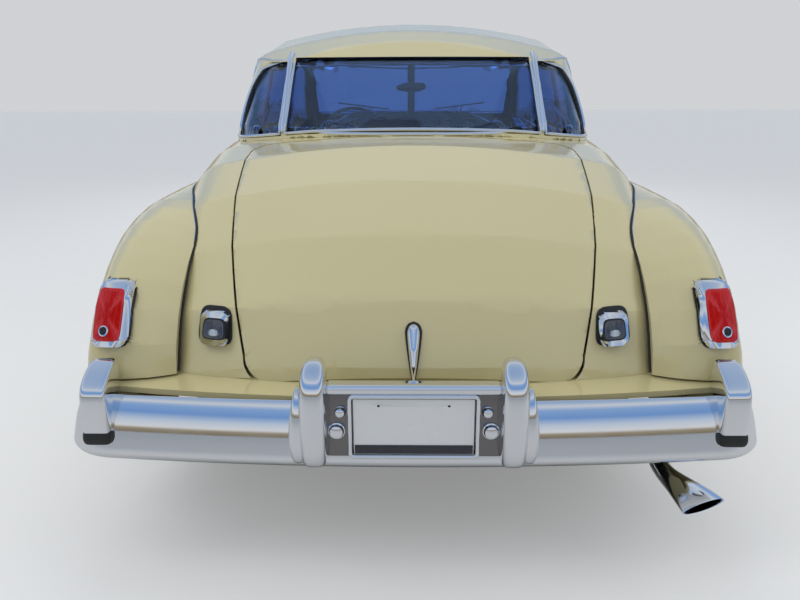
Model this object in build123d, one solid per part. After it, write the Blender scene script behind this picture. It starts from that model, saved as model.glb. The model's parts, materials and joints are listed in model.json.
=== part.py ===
from build123d import *
import math
import os

# A full-size two-door hardtop of the early 1950s, in millimetres. The origin is on the floor under
# the middle of the car, +Z is up, the front faces -Y and the driver's side (left) is +X.

# Whole car
LENGTH = 5270.0
WHEELBASE = 3188.0
FRONT_OVERHANG = 850.0
TRACK_FRONT = 1430.0
TRACK_REAR = 1514.0
FRONT_AXLE_Y = -LENGTH / 2 + FRONT_OVERHANG
REAR_AXLE_Y = FRONT_AXLE_Y + WHEELBASE

# Wheels and tyres
TYRE_RADIUS = 365.0
TYRE_WIDTH = 205.0
RIM_RADIUS = 195.0
RIM_WIDTH = 150.0
HUB_RADIUS = 62.0
AXLE_Z = TYRE_RADIUS

# Panels
PANEL_WALL = 24.0
DOOR_WALL = 60.0
GAP = 6.0
SEAT_GAP = 0.3
SILL_BOTTOM = 300.0
SILL_TOP = 372.0
SILL_INNER_X = 640.0
BELT_Z = 1084.0
DOOR_FRONT_Y = -850.0
DOOR_REAR_Y = 455.0
DOOR_FLANGE_X = 722.0
COWL_Y = -1010.0
ARCH_RADIUS_FRONT = 402.0
ARCH_RADIUS_REAR = 395.0
APRON_Z = 520.0
APRON_HALF = 700.0
APRON_WALL = 16.0
APRON_FRONT_Y = 2320.0
APRON_CORNER_Y = 2468.0
APRON_HORN_X = 850.0
APRON_HORN_Y = 2440.0
REAR_SEAM_X = 668.0
WING_END_Y = 2315.0
WING_END_Z = 526.0

# Cabin opening and glass
GLASS = 6.0
GLASS_INSET = 5.5
PILLAR_WALL = 40.0
WINDOW_TOP = 1432.0
QUARTER_WINDOW_REAR_Y = 890.0
BACK_PANE_FRONT_Y = 1020.0
BACK_PANE_REAR_Y = 1600.0
BACK_WINDOW_TOP = 1425.0
BACK_SIDE_TOP = 1408.0
BACK_POST_X = 516.0
BACK_POST_HALF = 11.0
BACK_WINDOW_LIFT = 12.0

# Lid and bonnet hinges
LID_FRONT_Y = 1462.0
LID_BOTTOM_Z = 545.0
LID_HALF_TOP = 604.0
LID_HALF_WAIST = 560.0
LID_HALF_BOTTOM = 474.0
LID_CORNER = 75.0
LID_HINGE_Y = 1454.5
LID_HINGE_Z = 1121.0
BARREL_RADIUS = 2.7
DOOR_HINGE_X = 893.0

# Running fits
RUNNING = 0.05
SPINDLE_RADIUS = 20.0
HUB_FACE = 34.0
BORE_END = 68.0

# Steering
KINGPIN_X = 590.0
KINGPIN_RADIUS = 16.0
STEER_ARM = 150.0
STEER_ARM_Z = 216.0
TRACK_ROD_Z = 196.0
TRACK_ROD_RADIUS = 11.0
STEERING_WHEEL_X = 372.0
STEERING_WHEEL_RADIUS = 222.0
STEERING_WHEEL_Y = -430.0
STEERING_WHEEL_Z = 985.0
STEERING_RAKE = 28.0

# Nose and engine bay
NOSE_Y = -2250.0
NOSE_BOTTOM = 462.0
BONNET_HINGE_Z = 1102.0
INNER_APRON_X = 388.0
LOCK_REACH = 480.0
SWING_ROOM = 8.0

# Frame and running gear
RAIL_X = 350.0
RAIL_WIDTH = 70.0
RAIL_BOTTOM = 215.0
RAIL_HEIGHT = 110.0
RAIL_RISE = 200.0
RAIL_NOSE_RISE = 130.0
RAIL_TAIL_RISE = 60.0
FRAME_FRONT_Y = -2440.0
FRAME_REAR_Y = 2440.0
LOWER_ARM_Z = 190.0
UPPER_ARM_Z = 470.0
SPRING_X = 520.0
SPRING_WIDTH = 56.0
SPRING_FRONT_Y = 760.0
SPRING_REAR_Y = 2050.0
FLOOR_WALL = 15.0
BOOT_FLOOR_Z = 560.0
BOOT_FLOOR_REAR_Y = 2290.0
FLOOR_MARGIN = 4.0
WHEELHOUSE_X = 640.0
WHEELHOUSE_REAR_Y = 1805.0
WHEELHOUSE_TOP = 800.0
SHELF_REAR_Y = 1400.0

# Bumpers
BUMPER_Z = 424.0
BUMPER_HEIGHT = 187.0
BUMPER_DEPTH = 60.0
BUMPER_WALL = 14.0
BUMPER_BRACKET_X = 350.0
BRACKET_LOW = 350.0
BRACKET_HIGH = 378.0
END_GUARD_INNER = 798.0
END_GUARD_OUTER = 872.0
END_GUARD_FRONT_Y = 2432.0
END_GUARD_REAR_Y = 2556.0
END_GUARD_LOW = 430.0
END_GUARD_HIGH = 598.0
REAR_BUMPER_Y = 2530.0
FRONT_BUMPER_Y = -2530.0
BUMPER_HALF = 822.0
GUARD_X = 254.0
GUARD_LOW = 361.0
GUARD_HIGH = 658.0
GUARD_WIDTH = 70.0
WRAP_RADIUS = 85.0

# Number plate
PLATE_WIDTH = 305.0
PLATE_HEIGHT = 152.0
PLATE_Z = 474.0
PLATE_HOLE_X = 88.9
PLATE_HOLE_Z = 58.0
PLATE_HOLE_RADIUS = 3.5
HOOD_LOW = 577.0

# Grille and lamps
MOUTH_HALF = 470.0
MOUTH_BOTTOM = 470.0
MOUTH_TOP = 690.0
GRILLE_HALF = 455.0
GRILLE_Y = -2480.0
LAMP_X = 715.0
LAMP_Y = -2455.0
LAMP_Z = 770.0
PARKING_Y = -2503.0
PARKING_Z = 590.0
PARKING_RADIUS = 50.0
LAMP_RADIUS = 98.0
TAIL_LAMP_X = 838.0
TAIL_LAMP_Z = 697.0
REVERSE_LAMP_X = 560.0
LAMP_PROUD = 22.0
REVERSE_LAMP_Z = 650.0

# Engine, radiator and fuel tank
ENGINE_HALF = 225.0
ENGINE_FRONT_Y = -2060.0
ENGINE_REAR_Y = -1290.0
ENGINE_TOP = 640.0
BANK_LEAN = 42.0
RADIATOR_Y = -2290.0
TANK_HALF = 300.0
TANK_FRONT_Y = 1850.0

# Exhaust
PIPE_RADIUS = 26.0
PIPE_X = -230.0
PIPE_Z = 183.0
HANGER_YS = (-1150.0, -100.0, 820.0)
TIP_X = -720.0
TIP_Z = 240.0

# Cabin
TUNNEL_TOP = 470.0
PAN_Z = 430.0
HEEL_FRONT_Y = 745.0
HEEL_REAR_Y = 985.0
BULKHEAD_Y = 1262.0
SHELF_Z = 1010.0
CUSHION = 170.0
BACKREST = 125.0
BENCH_CORNER = 45.0
REAR_BENCH_HALF = 600.0
REAR_BACK_LEAN = 14.0


def tangent_points(c1, r1, c2, r2, r):
    """Centre of a corner arc that touches two larger arcs from inside, and its two end points."""
    d1, d2 = r1 - r, r2 - r
    dx, dz = c2[0] - c1[0], c2[1] - c1[1]
    d = math.hypot(dx, dz)
    a = (d1 * d1 - d2 * d2 + d * d) / (2 * d)
    h = math.sqrt(max(d1 * d1 - a * a, 0.0))
    mx, mz = c1[0] + a * dx / d, c1[1] + a * dz / d
    choices = [(mx + s * h * dz / d, mz - s * h * dx / d) for s in (1, -1)]
    c = max(choices, key=lambda p: p[0] + p[1])
    on1 = (c[0] + r * (c[0] - c1[0]) / d1, c[1] + r * (c[1] - c1[1]) / d1)
    on2 = (c[0] + r * (c[0] - c2[0]) / d2, c[1] + r * (c[1] - c2[1]) / d2)
    return c, on1, on2


def on_arc(centre, radius, a, b):
    """The point half way along the short arc from a to b round centre."""
    ux = (a[0] + b[0]) / 2 - centre[0]
    uz = (a[1] + b[1]) / 2 - centre[1]
    n = math.hypot(ux, uz)
    return (centre[0] + ux / n * radius, centre[1] + uz / n * radius)


def placer(y, z, tilt):
    """Maps a section's (x, v) to the car: v runs up, or rearwards by the tilt in degrees."""
    s, c = math.sin(math.radians(tilt)), math.cos(math.radians(tilt))
    return lambda p: (p[0], y + s * p[1], z + c * p[1])


def full_section(row, inset):
    """A closed six-edge section, the same left and right: bottom, sides, corners and crowned top."""
    y, z, tilt, bottom, top, crown_r, half, widest, side_r, corner_r = row
    bottom, top, half = bottom + inset, top - inset, half - inset
    crown_r, side_r, corner_r = crown_r - inset, side_r - inset, max(corner_r - inset, 12.0)
    crown_c, side_c = (0.0, top - crown_r), (half - side_r, widest)
    c, on_crown, on_side = tangent_points(crown_c, crown_r, side_c, side_r, corner_r)
    foot = (side_c[0] + math.sqrt(side_r ** 2 - (bottom - widest) ** 2), bottom)
    side_mid = on_arc(side_c, side_r, foot, on_side)
    corner_mid = on_arc(c, corner_r, on_side, on_crown)
    put = placer(y, z, tilt)
    mirror_x = lambda p: (-p[0], p[1])
    left = [mirror_x(p) for p in (on_crown, corner_mid, on_side, side_mid, foot)]
    edges = [
        Edge.make_line(put(left[4]), put(foot)),
        Edge.make_three_point_arc(put(foot), put(side_mid), put(on_side)),
        Edge.make_three_point_arc(put(on_side), put(corner_mid), put(on_crown)),
        Edge.make_three_point_arc(put(on_crown), put((0.0, top)), put(left[0])),
        Edge.make_three_point_arc(put(left[0]), put(left[1]), put(left[2])),
        Edge.make_three_point_arc(put(left[2]), put(left[3]), put(left[4])),
    ]
    return Wire(edges)


def side_section(row, inset, inner):
    """A closed five-edge section of one wing: flat inner face, crowned top, corner and side."""
    y, z, tilt, bottom, top, crest, crown_r, half, widest, side_r, corner_r = row
    bottom, top, half, inner = bottom + inset, top - inset, half - inset, inner + inset
    crown_r, side_r, corner_r = crown_r - inset, side_r - inset, max(corner_r - inset, 12.0)
    crown_c, side_c = (crest, top - crown_r), (half - side_r, widest)
    c, on_crown, on_side = tangent_points(crown_c, crown_r, side_c, side_r, corner_r)
    foot = (side_c[0] + math.sqrt(side_r ** 2 - (bottom - widest) ** 2), bottom)
    head = (inner, crown_c[1] + math.sqrt(crown_r ** 2 - (inner - crest) ** 2))
    put = placer(y, z, tilt)
    edges = [
        Edge.make_line(put((inner, bottom)), put(foot)),
        Edge.make_three_point_arc(put(foot), put(on_arc(side_c, side_r, foot, on_side)), put(on_side)),
        Edge.make_three_point_arc(put(on_side), put(on_arc(c, corner_r, on_side, on_crown)), put(on_crown)),
        Edge.make_three_point_arc(put(on_crown), put(on_arc(crown_c, crown_r, on_crown, head)), put(head)),
        Edge.make_line(put(head), put((inner, bottom))),
    ]
    return Wire(edges)


# Round ends of the body, as ellipses in side view: centre y and z, reach in y and in z
DECK = (1350.0, 430.0, 1110.0, 700.0)
NOSE = (-1900.0, 560.0, -600.0, 520.0)
REAR_WING = (1750.0, 500.0, 672.0, 450.0)
FRONT_WING = (-1850.0, 520.0, -660.0, 430.0)


def reach(y, z, tilt, ellipse):
    """How far a tilted section runs from its origin out to an end ellipse."""
    cy, cz, a, b = ellipse
    s, c = math.sin(math.radians(tilt)), math.cos(math.radians(tilt))
    qa = (s / a) ** 2 + (c / b) ** 2
    qb = 2 * ((y - cy) * s / a ** 2 + (z - cz) * c / b ** 2)
    qc = ((y - cy) / a) ** 2 + ((z - cz) / b) ** 2 - 1
    return (-qb + math.sqrt(qb * qb - 4 * qa * qc)) / (2 * qa)


def with_reach(rows, ellipse):
    """Fills in the top of each row that leaves it open."""
    return [row[:4] + (reach(row[0], row[1], row[2], ellipse) if row[4] is None else row[4],) + row[5:]
            for row in rows]


# Every section stands on this height and leans from it, so all its heights are counted from here
BASE_Z = 240.0
FOOT = SILL_BOTTOM - BASE_Z

# Body from cowl to tail
# y, z, tilt, bottom, top, crown radius, half width, widest at, side radius, corner radius
BODY = with_reach([
    (COWL_Y, BASE_Z, 0, FOOT, 866, 9000, 880, 400, 1250, 80),
    (-200, BASE_Z, 0, FOOT, 872, 9000, 902, 400, 1250, 80),
    (700, BASE_Z, 0, FOOT, 882, 8000, 900, 400, 1250, 95),
    (1350, BASE_Z, 0, FOOT, 892, 4500, 868, 400, 1150, 150),
    (1600, BASE_Z, 25, FOOT, None, 3000, 838, 330, 1150, 190),
    (1760, BASE_Z, 50, FOOT, None, 2600, 814, 240, 1000, 200),
    (1880, BASE_Z - 4, 72, FOOT, None, 2600, 786, 150, 800, 165),
    (1980, BASE_Z - 8, 90, FOOT, 475, 3000, 750, 90, 600, 135),
], DECK)

# Bonnet and nose between the front wings, listed from the cowl forwards
BONNET = with_reach([
    (COWL_Y, BASE_Z, 0, FOOT, 866, 1500, 642, 460, 2000, 230),
    (-1500, BASE_Z, 0, FOOT, 856, 1150, 642, 450, 2000, 240),
    (-1850, BASE_Z, 0, FOOT, 842, 980, 606, 430, 2000, 240),
    (-1980, BASE_Z, -28, FOOT, None, 900, 570, 380, 1800, 230),
    (-2090, BASE_Z, -55, FOOT, None, 900, 540, 210, 1500, 170),
    (-2160, BASE_Z, -76, FOOT, None, 1000, 515, 130, 1200, 70),
], NOSE)

# One rear wing
# y, z, tilt, bottom, top, crest, crown radius, half width, widest at, side radius, corner radius
REAR_WING_ROWS = with_reach([
    (505, BASE_Z, 0, FOOT, 665, 720, 900, 908, 380, 1100, 130),
    (950, BASE_Z, 0, FOOT, 705, 750, 650, 946, 380, 1000, 160),
    (1400, BASE_Z, 0, FOOT, 718, 790, 480, 958, 380, 1000, 140),
    (1750, BASE_Z, 0, FOOT, 710, 815, 400, 957, 370, 1000, 130),
    (1830, BASE_Z, 10, FOOT, None, 820, 395, 957, 350, 1000, 130),
    (1900, BASE_Z, 20, FOOT, None, 828, 390, 957, 325, 1000, 120),
    (1960, BASE_Z, 30, FOOT, None, 835, 380, 957, 290, 1000, 110),
    (2010, BASE_Z, 45, FOOT, None, 840, 350, 956, 240, 900, 100),
    (2050, BASE_Z, 60, FOOT, None, 845, 330, 953, 190, 800, 95),
    (2090, BASE_Z, 73, FOOT, None, 845, 315, 944, 150, 650, 85),
    (2120, BASE_Z, 86, FOOT, None, 845, 300, 930, 115, 500, 75),
], REAR_WING)

# One front wing, listed from the door forwards
FRONT_WING_ROWS = with_reach([
    (DOOR_FRONT_Y - GAP, BASE_Z, 0, FOOT, 770, 640, 800, 881, 400, 1200, 130),
    (-1400, BASE_Z, 0, FOOT, 745, 680, 700, 915, 380, 1000, 180),
    (-1850, BASE_Z, 0, FOOT, 710, 690, 600, 935, 360, 900, 200),
    (-1990, BASE_Z, -30, FOOT, None, 690, 500, 930, 290, 800, 190),
    (-2060, BASE_Z, -58, FOOT, None, 690, 500, 915, 200, 700, 160),
    (-2120, BASE_Z, -82, FOOT, None, 690, 600, 890, 130, 500, 110),
], FRONT_WING)


def smooth(rows, steps=2):
    """Adds sections between the rows of a table, each column on a curve through its neighbours."""
    out = []
    for i in range(len(rows) - 1):
        before, a, b, after = rows[max(i - 1, 0)], rows[i], rows[i + 1], rows[min(i + 2, len(rows) - 1)]
        for k in range(steps):
            t = k / steps
            out.append(tuple(
                0.5 * (2 * q + (r - p) * t + (2 * p - 5 * q + 4 * r - s) * t ** 2
                       + (3 * q - p - 3 * r + s) * t ** 3)
                for p, q, r, s in zip(before, a, b, after)))
    return out + [rows[-1]]


def body_envelope(inset):
    return Solid.make_loft([full_section(row, inset) for row in smooth(BODY)], True)


def bonnet_envelope(inset):
    return Solid.make_loft([full_section(row, inset) for row in smooth(BONNET)], True)


def wing_envelope(rows, inset, inner):
    return Solid.make_loft([side_section(row, inset, inner) for row in smooth(rows)], True)


def block(x0, x1, y0, y1, z0, z1):
    """A box between two corners."""
    return Pos((x0 + x1) / 2, (y0 + y1) / 2, (z0 + z1) / 2) * Box(abs(x1 - x0), abs(y1 - y0), abs(z1 - z0))


def rod(x, y, z, radius, length, axis):
    """A round bar centred on a point, along X, Y or Z."""
    turn = {"X": (0, 90, 0), "Y": (90, 0, 0), "Z": (0, 0, 0)}[axis]
    return Pos(x, y, z) * Rot(*turn) * Cylinder(radius, length)


# Glasshouse in plan, from the belt up
# z, rear y, rear radius, rear corner, half width, widest y, side radius, front y, front radius, front corner
GLASSHOUSE = [
    (1060, 1490, 1000, 290, 782, 350, 12000, -1050, 1900, 90),
    (1150, 1433, 1050, 290, 770, 350, 12000, -965, 1900, 90),
    (1300, 1215, 1500, 275, 742, 350, 12000, -815, 2100, 90),
    (1450, 994, 2500, 260, 712, 350, 12000, -665, 2300, 90),
    (1640, 720, 3500, 250, 680, 350, 12000, -480, 2500, 90),
]

# Roof skin from the windscreen back, in the columns of the body
ROOF = [
    (-1100, 0, 0, 900, 1330, 2600, 800, 1060, 850, 110),
    (-860, 0, 0, 900, 1412, 2600, 800, 1060, 850, 110),
    (-640, 0, 0, 900, 1498, 2600, 800, 1060, 850, 110),
    (-300, 0, 0, 900, 1573, 2700, 800, 1060, 850, 120),
    (60, 0, 0, 900, 1602, 2800, 800, 1060, 850, 120),
    (420, 0, 0, 900, 1602, 2700, 800, 1060, 850, 120),
    (760, 0, 0, 900, 1548, 2400, 800, 1060, 850, 120),
    (1000, 0, 0, 900, 1470, 2200, 800, 1060, 850, 120),
    (1300, 0, 0, 900, 1350, 2000, 800, 1060, 850, 120),
    (1560, 0, 0, 900, 1240, 2000, 800, 1060, 850, 120),
]


def plan_section(row, inset):
    """A closed eight-edge outline in plan: crowned ends, long sides and four corners."""
    z, rear, rear_r, rear_corner, half, widest, side_r, front, front_r, front_corner = row
    half = half - inset
    side_c = (half - side_r + inset, widest)
    side_r = side_r - inset
    points = {}
    for name, end, end_r, corner, way in (("rear", rear, rear_r, rear_corner, 1),
                                          ("front", front, front_r, front_corner, -1)):
        end_c = (0.0, (end * way - end_r))
        c, on_end, on_side = tangent_points(end_c, end_r - inset, (side_c[0], side_c[1] * way),
                                            side_r, corner - inset)
        mid = on_arc(c, corner - inset, on_end, on_side)
        tip = (0.0, (end * way - inset) * way)
        points[name] = [(p[0], p[1] * way) for p in (on_end, mid, on_side)] + [tip]
    side_mid = (side_c[0] + math.sqrt(side_r ** 2 - (300 - widest) ** 2), 300)
    put = lambda p, flip=1: (p[0] * flip, p[1], z)
    (r_end, r_mid, r_side, r_tip), (f_end, f_mid, f_side, f_tip) = points["rear"], points["front"]
    return Wire([
        Edge.make_three_point_arc(put(r_end, -1), put(r_tip), put(r_end)),
        Edge.make_three_point_arc(put(r_end), put(r_mid), put(r_side)),
        Edge.make_three_point_arc(put(r_side), put(side_mid), put(f_side)),
        Edge.make_three_point_arc(put(f_side), put(f_mid), put(f_end)),
        Edge.make_three_point_arc(put(f_end), put(f_tip), put(f_end, -1)),
        Edge.make_three_point_arc(put(f_end, -1), put(f_mid, -1), put(f_side, -1)),
        Edge.make_three_point_arc(put(f_side, -1), put(side_mid, -1), put(r_side, -1)),
        Edge.make_three_point_arc(put(r_side, -1), put(r_mid, -1), put(r_end, -1)),
    ])


def glasshouse(inset):
    sides = Solid.make_loft([plan_section(row, inset) for row in GLASSHOUSE], True)
    skin = Solid.make_loft([full_section(row, inset) for row in smooth(ROOF, 1)], True)
    return sides & skin


def side_prism(points, x0, x1):
    """A prism along X from x0 to x1 over an outline of (y, z) points."""
    outline = Wire([Edge.make_line((x0, *a), (x0, *b)) for a, b in zip(points, points[1:] + points[:1])])
    return Solid.extrude(Face(outline), Vector(x1 - x0, 0, 0))


def mirrored(shape):
    """The same piece on the other side of the car."""
    return shape.mirror(Plane.YZ)


def both(shape):
    """A piece and its mirror image, as one node."""
    return Compound([shape, mirrored(shape)])


def only_solid(shape):
    """The largest solid of a cut, so that no sliver stays."""
    return max(shape.solids(), key=lambda solid: solid.volume)


NODES = {}


def keep(name, shape):
    NODES[name] = shape


# Solids that cut the panels from one another
body_outer = body_envelope(0)
body_inner = body_envelope(PANEL_WALL)
body_clear = body_envelope(-SEAT_GAP)
bonnet_outer = bonnet_envelope(0)
bonnet_inner = bonnet_envelope(PANEL_WALL)
house_outer = glasshouse(0)
house_inner = glasshouse(PILLAR_WALL)
house_glass_outer = glasshouse(PILLAR_WALL / 2 - GLASS / 2)
house_glass_inner = glasshouse(PILLAR_WALL / 2 + GLASS / 2)
FAR = 3000.0

# The rear arch runs through the wing and the body side
rear_arch = rod(800, REAR_AXLE_Y, AXLE_Z + 10, ARCH_RADIUS_REAR, 760, "X")
front_arch = rod(800, FRONT_AXLE_Y, AXLE_Z + 10, ARCH_RADIUS_FRONT, 800, "X")

# The cabin opening in the body's top face follows the glasshouse
cabin_outline = Wire(plan_section(GLASSHOUSE[1], PILLAR_WALL + 6).edges())
cabin_opening = Solid.extrude(Face(Pos(0, 0, 900 - GLASSHOUSE[1][0]) * cabin_outline), Vector(0, 0, 400))


def lid_outline(margin):
    """Outline of the boot lid in a plane that leans with the deck, as a prism through the deck."""
    lean = math.radians(48.0)
    plane = Plane(origin=(0, 1950, 850), x_dir=(1, 0, 0), z_dir=(0, math.sin(lean), math.cos(lean)))
    down = lambda y, z: (y - 1950) * math.cos(lean) - (z - 850) * math.sin(lean)
    head, foot = down(LID_FRONT_Y, 1125) - margin, down(2448, LID_BOTTOM_Z) + margin
    shoulder, waist, heel = LID_HALF_TOP + margin, LID_HALF_WAIST + margin, LID_HALF_BOTTOM + margin
    turn = 0.29 * LID_CORNER
    half = [
        Edge.make_line((0, head), (shoulder - LID_CORNER, head)),
        Edge.make_three_point_arc((shoulder - LID_CORNER, head), (shoulder - turn, head + turn),
                                  (shoulder, head + LID_CORNER)),
        Edge.make_three_point_arc((shoulder, head + LID_CORNER), (waist, (head + foot) / 2),
                                  (heel, foot - LID_CORNER)),
        Edge.make_three_point_arc((heel, foot - LID_CORNER), (heel - turn, foot - turn),
                                  (heel - LID_CORNER, foot)),
        Edge.make_line((heel - LID_CORNER, foot), (0, foot)),
    ]
    half_face = Face(Wire(half + [Edge.make_line((0, foot), (0, head))]))
    whole = half_face + half_face.mirror(Plane.YZ)
    return extrude(plane * whole, 420, both=True)


# Body panels
lid_cut = lid_outline(GAP / 2) & block(-FAR, FAR, 1200, FAR, 0, FAR)
lid_piece = lid_outline(-GAP / 2) & block(-FAR, FAR, 1200, FAR, 0, FAR)
body_shell = body_outer - body_inner
above_apron = block(-FAR, FAR, -FAR, FAR, APRON_Z, FAR)
rear_body = body_shell & block(-FAR, FAR, DOOR_REAR_Y, FAR, SILL_TOP, FAR)
rear_body = rear_body - block(-FAR, FAR, 1700, FAR, 0, APRON_Z) - cabin_opening
rear_body = rear_body - lid_cut - rear_arch - mirrored(rear_arch)
rear_body = only_solid(rear_body)
for x in (-100, 100):
    leaf = block(x - 20, x + 20, LID_HINGE_Y - 9, LID_HINGE_Y, LID_HINGE_Z - 1, LID_HINGE_Z + 1)
    rear_body = rear_body + rod(x, LID_HINGE_Y, LID_HINGE_Z, BARREL_RADIUS, 40, "X") + leaf
keep("rear_body", rear_body)
boot_lid = body_shell & lid_piece & above_apron
keep("boot_lid", only_solid(boot_lid))

door_zone = block(-FAR, FAR, DOOR_FRONT_Y, DOOR_REAR_Y - GAP, SILL_TOP + GAP, FAR)
door_shell = (body_outer - body_envelope(DOOR_WALL)) & door_zone
door_shell = door_shell - cabin_opening - block(-DOOR_FLANGE_X, DOOR_FLANGE_X, -FAR, FAR, 900, FAR)
door_left = only_solid(door_shell & block(500, FAR, -FAR, FAR, 0, FAR))
keep("door_left", door_left)
keep("door_right", mirrored(door_left))

sill_rear_y = REAR_AXLE_Y - ARCH_RADIUS_REAR - 20
sill = body_shell & block(SILL_INNER_X, FAR, DOOR_FRONT_Y - GAP, sill_rear_y, SILL_BOTTOM, SILL_TOP - GAP)
keep("sills", both(only_solid(sill)))

# Roof with its pillars
SIDE_WINDOW = [(-838, BELT_Z - 40), (-520, WINDOW_TOP), (700, WINDOW_TOP), (800, WINDOW_TOP - 20),
               (QUARTER_WINDOW_REAR_Y, BELT_Z - 40)]
side_window = side_prism(SIDE_WINDOW, -FAR, FAR)


def screen_room(margin):
    """Room for one half of the windscreen beside its centre bar, smaller by a margin."""
    return block(18 + margin, 640 - margin, -1300, -500, 1128 + margin, 1442 - margin)


def back_pane(start, end, top, margin):
    """Room for a pane of the rear window from x start to x end, smaller by a margin."""
    front, rear = BACK_PANE_FRONT_Y + margin, BACK_PANE_REAR_Y
    outline = [(front, 1000), (front, 1110), (front - 105, top - margin), (rear, top - margin), (rear, 1000)]
    return side_prism(outline, start + margin, end - margin) - body_envelope(-BACK_WINDOW_LIFT - margin)


post_inner = BACK_POST_X - BACK_POST_HALF
post_outer = BACK_POST_X + BACK_POST_HALF
side_pane = back_pane(post_outer, FAR, BACK_SIDE_TOP, 0)
centre_pane = back_pane(-post_inner, post_inner, BACK_WINDOW_TOP, 0)
roof_shell = (house_outer - house_inner) - body_clear
roof = roof_shell - side_window - screen_room(0) - mirrored(screen_room(0))
roof = roof - centre_pane - side_pane - mirrored(side_pane)
keep("roof", only_solid(roof))

# Glass sits in the middle of the pillars' thickness, clear of them all round
glass_shell = (house_glass_outer - house_glass_inner) - body_clear
glass_top = WINDOW_TOP - GLASS_INSET
SIDE_GLASS = [(GLASS_INSET - 838, BELT_Z - 40), (GLASS_INSET - 520, glass_top), (700, glass_top),
              (800, glass_top - 20), (QUARTER_WINDOW_REAR_Y - GLASS_INSET, BELT_Z - 40)]
side_glass = glass_shell & side_prism(SIDE_GLASS, 645, FAR)
door_glass = only_solid(side_glass & block(0, FAR, -FAR, DOOR_REAR_Y - GAP, 0, FAR))
quarter_glass = only_solid(side_glass & block(0, FAR, DOOR_REAR_Y, FAR, 0, FAR))
keep("door_glass_left", door_glass)
keep("door_glass_right", mirrored(door_glass))
screen_glass = only_solid(glass_shell & screen_room(SEAT_GAP))
panes = [only_solid(glass_shell & back_pane(-post_inner, post_inner, BACK_WINDOW_TOP, SEAT_GAP))]
back_side_glass = only_solid(glass_shell & back_pane(post_outer, FAR, BACK_SIDE_TOP, SEAT_GAP))
for pane in (screen_glass, quarter_glass, back_side_glass):
    panes = panes + [pane, mirrored(pane)]
keep("fixed_glass", Compound(panes))

# Wings
rear_wing = wing_envelope(REAR_WING_ROWS, 0, REAR_SEAM_X)
rear_wing = rear_wing - wing_envelope(REAR_WING_ROWS, PANEL_WALL, REAR_SEAM_X - 2 * PANEL_WALL)
rear_wing = (rear_wing - body_clear) - rear_arch - block(0, FAR, WING_END_Y, FAR, 0, WING_END_Z)
rear_wing = only_solid(rear_wing & block(0, FAR, -FAR, FAR, SILL_BOTTOM, FAR))
keep("rear_wing_left", rear_wing)
keep("rear_wing_right", mirrored(rear_wing))

# The bonnet's lower edge in side view, closed over its top
BONNET_EDGE = [(COWL_Y, 980), (-2000, 906), (-2070, 888), (-2250, 750), (-2440, 735), (-2700, 735),
               (-2700, 1400), (COWL_Y, 1400)]
bonnet_zone = side_prism(BONNET_EDGE, -FAR, FAR)
bonnet_cut = side_prism([(y, z - GAP if z < 1300 else z) for y, z in BONNET_EDGE], -FAR, FAR)
bonnet_clear = bonnet_envelope(-GAP)
bonnet_seat = bonnet_envelope(-SEAT_GAP)
bonnet_room = bonnet_envelope(-SWING_ROOM)
nose_zone = block(-FAR, FAR, -FAR, NOSE_Y, 0, FAR)
wing_outer = wing_envelope(FRONT_WING_ROWS, 0, INNER_APRON_X)
wing_inner = wing_envelope(FRONT_WING_ROWS, PANEL_WALL, INNER_APRON_X)
front_wing = wing_outer - wing_inner - (bonnet_clear & bonnet_cut) - front_arch
front_wing = front_wing - (bonnet_seat & nose_zone)
front_wing = front_wing - block(0, 760, COWL_Y - SEAT_GAP, FAR, 0, 1030)
apron_inner = INNER_APRON_X + 60
front_wing = front_wing - block(0, apron_inner, -FAR, FAR, 0, RAIL_BOTTOM + RAIL_HEIGHT + SEAT_GAP)
front_wing = front_wing - block(0, apron_inner, FRONT_AXLE_Y - 75, FRONT_AXLE_Y + 75, 0, UPPER_ARM_Z + 40)
front_wing = front_wing - block(0, FAR, -FAR, -WING_END_Y, 0, WING_END_Z)
front_wing = front_wing - block(INNER_APRON_X + PANEL_WALL + 2, 850, FRONT_AXLE_Y - LOCK_REACH,
                                FRONT_AXLE_Y + LOCK_REACH, 0, SILL_BOTTOM + PANEL_WALL + 2)
for start, end in zip(BONNET_EDGE[:4], BONNET_EDGE[1:5]):
    strip = bonnet_room & side_prism([start, end, (end[0], end[1] + 1), (start[0], start[1] + 1)], 0, FAR)
    lower_face = max(strip.faces(), key=lambda face: face.area)
    front_wing = front_wing - Solid.extrude(lower_face, Vector(0, -30, 300))
front_wing = only_solid(front_wing & block(0, FAR, -FAR, FAR, SILL_BOTTOM, FAR))
keep("front_wing_left", front_wing)
keep("front_wing_right", mirrored(front_wing))

bonnet = (bonnet_outer - bonnet_inner) & bonnet_zone & block(-FAR, FAR, -FAR, COWL_Y - GAP, 0, FAR)
keep("bonnet", only_solid(bonnet))

# Cowl with the firewall and the pillars that the doors hang on
cowl = body_outer & block(-FAR, FAR, COWL_Y, DOOR_FRONT_Y - GAP, SILL_TOP, FAR)
cowl = cowl - block(-720, 720, COWL_Y + PANEL_WALL, FAR, 0, 1058) - cabin_opening
wing_skin = wing_envelope(FRONT_WING_ROWS, -SEAT_GAP, INNER_APRON_X) - wing_envelope(
    FRONT_WING_ROWS, PANEL_WALL + SEAT_GAP, INNER_APRON_X)
wing_skin = wing_skin & block(500, FAR, -FAR, FAR, 0, FAR)
cowl = only_solid(cowl - wing_skin - mirrored(wing_skin))
for x in (-60, 60):
    leaf = block(x - 20, x + 20, COWL_Y - GAP / 2, COWL_Y + 5, BONNET_HINGE_Z - 2, BONNET_HINGE_Z + 2)
    cowl = cowl + rod(x, COWL_Y - GAP / 2, BONNET_HINGE_Z, BARREL_RADIUS, 40, "X") + leaf
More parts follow.
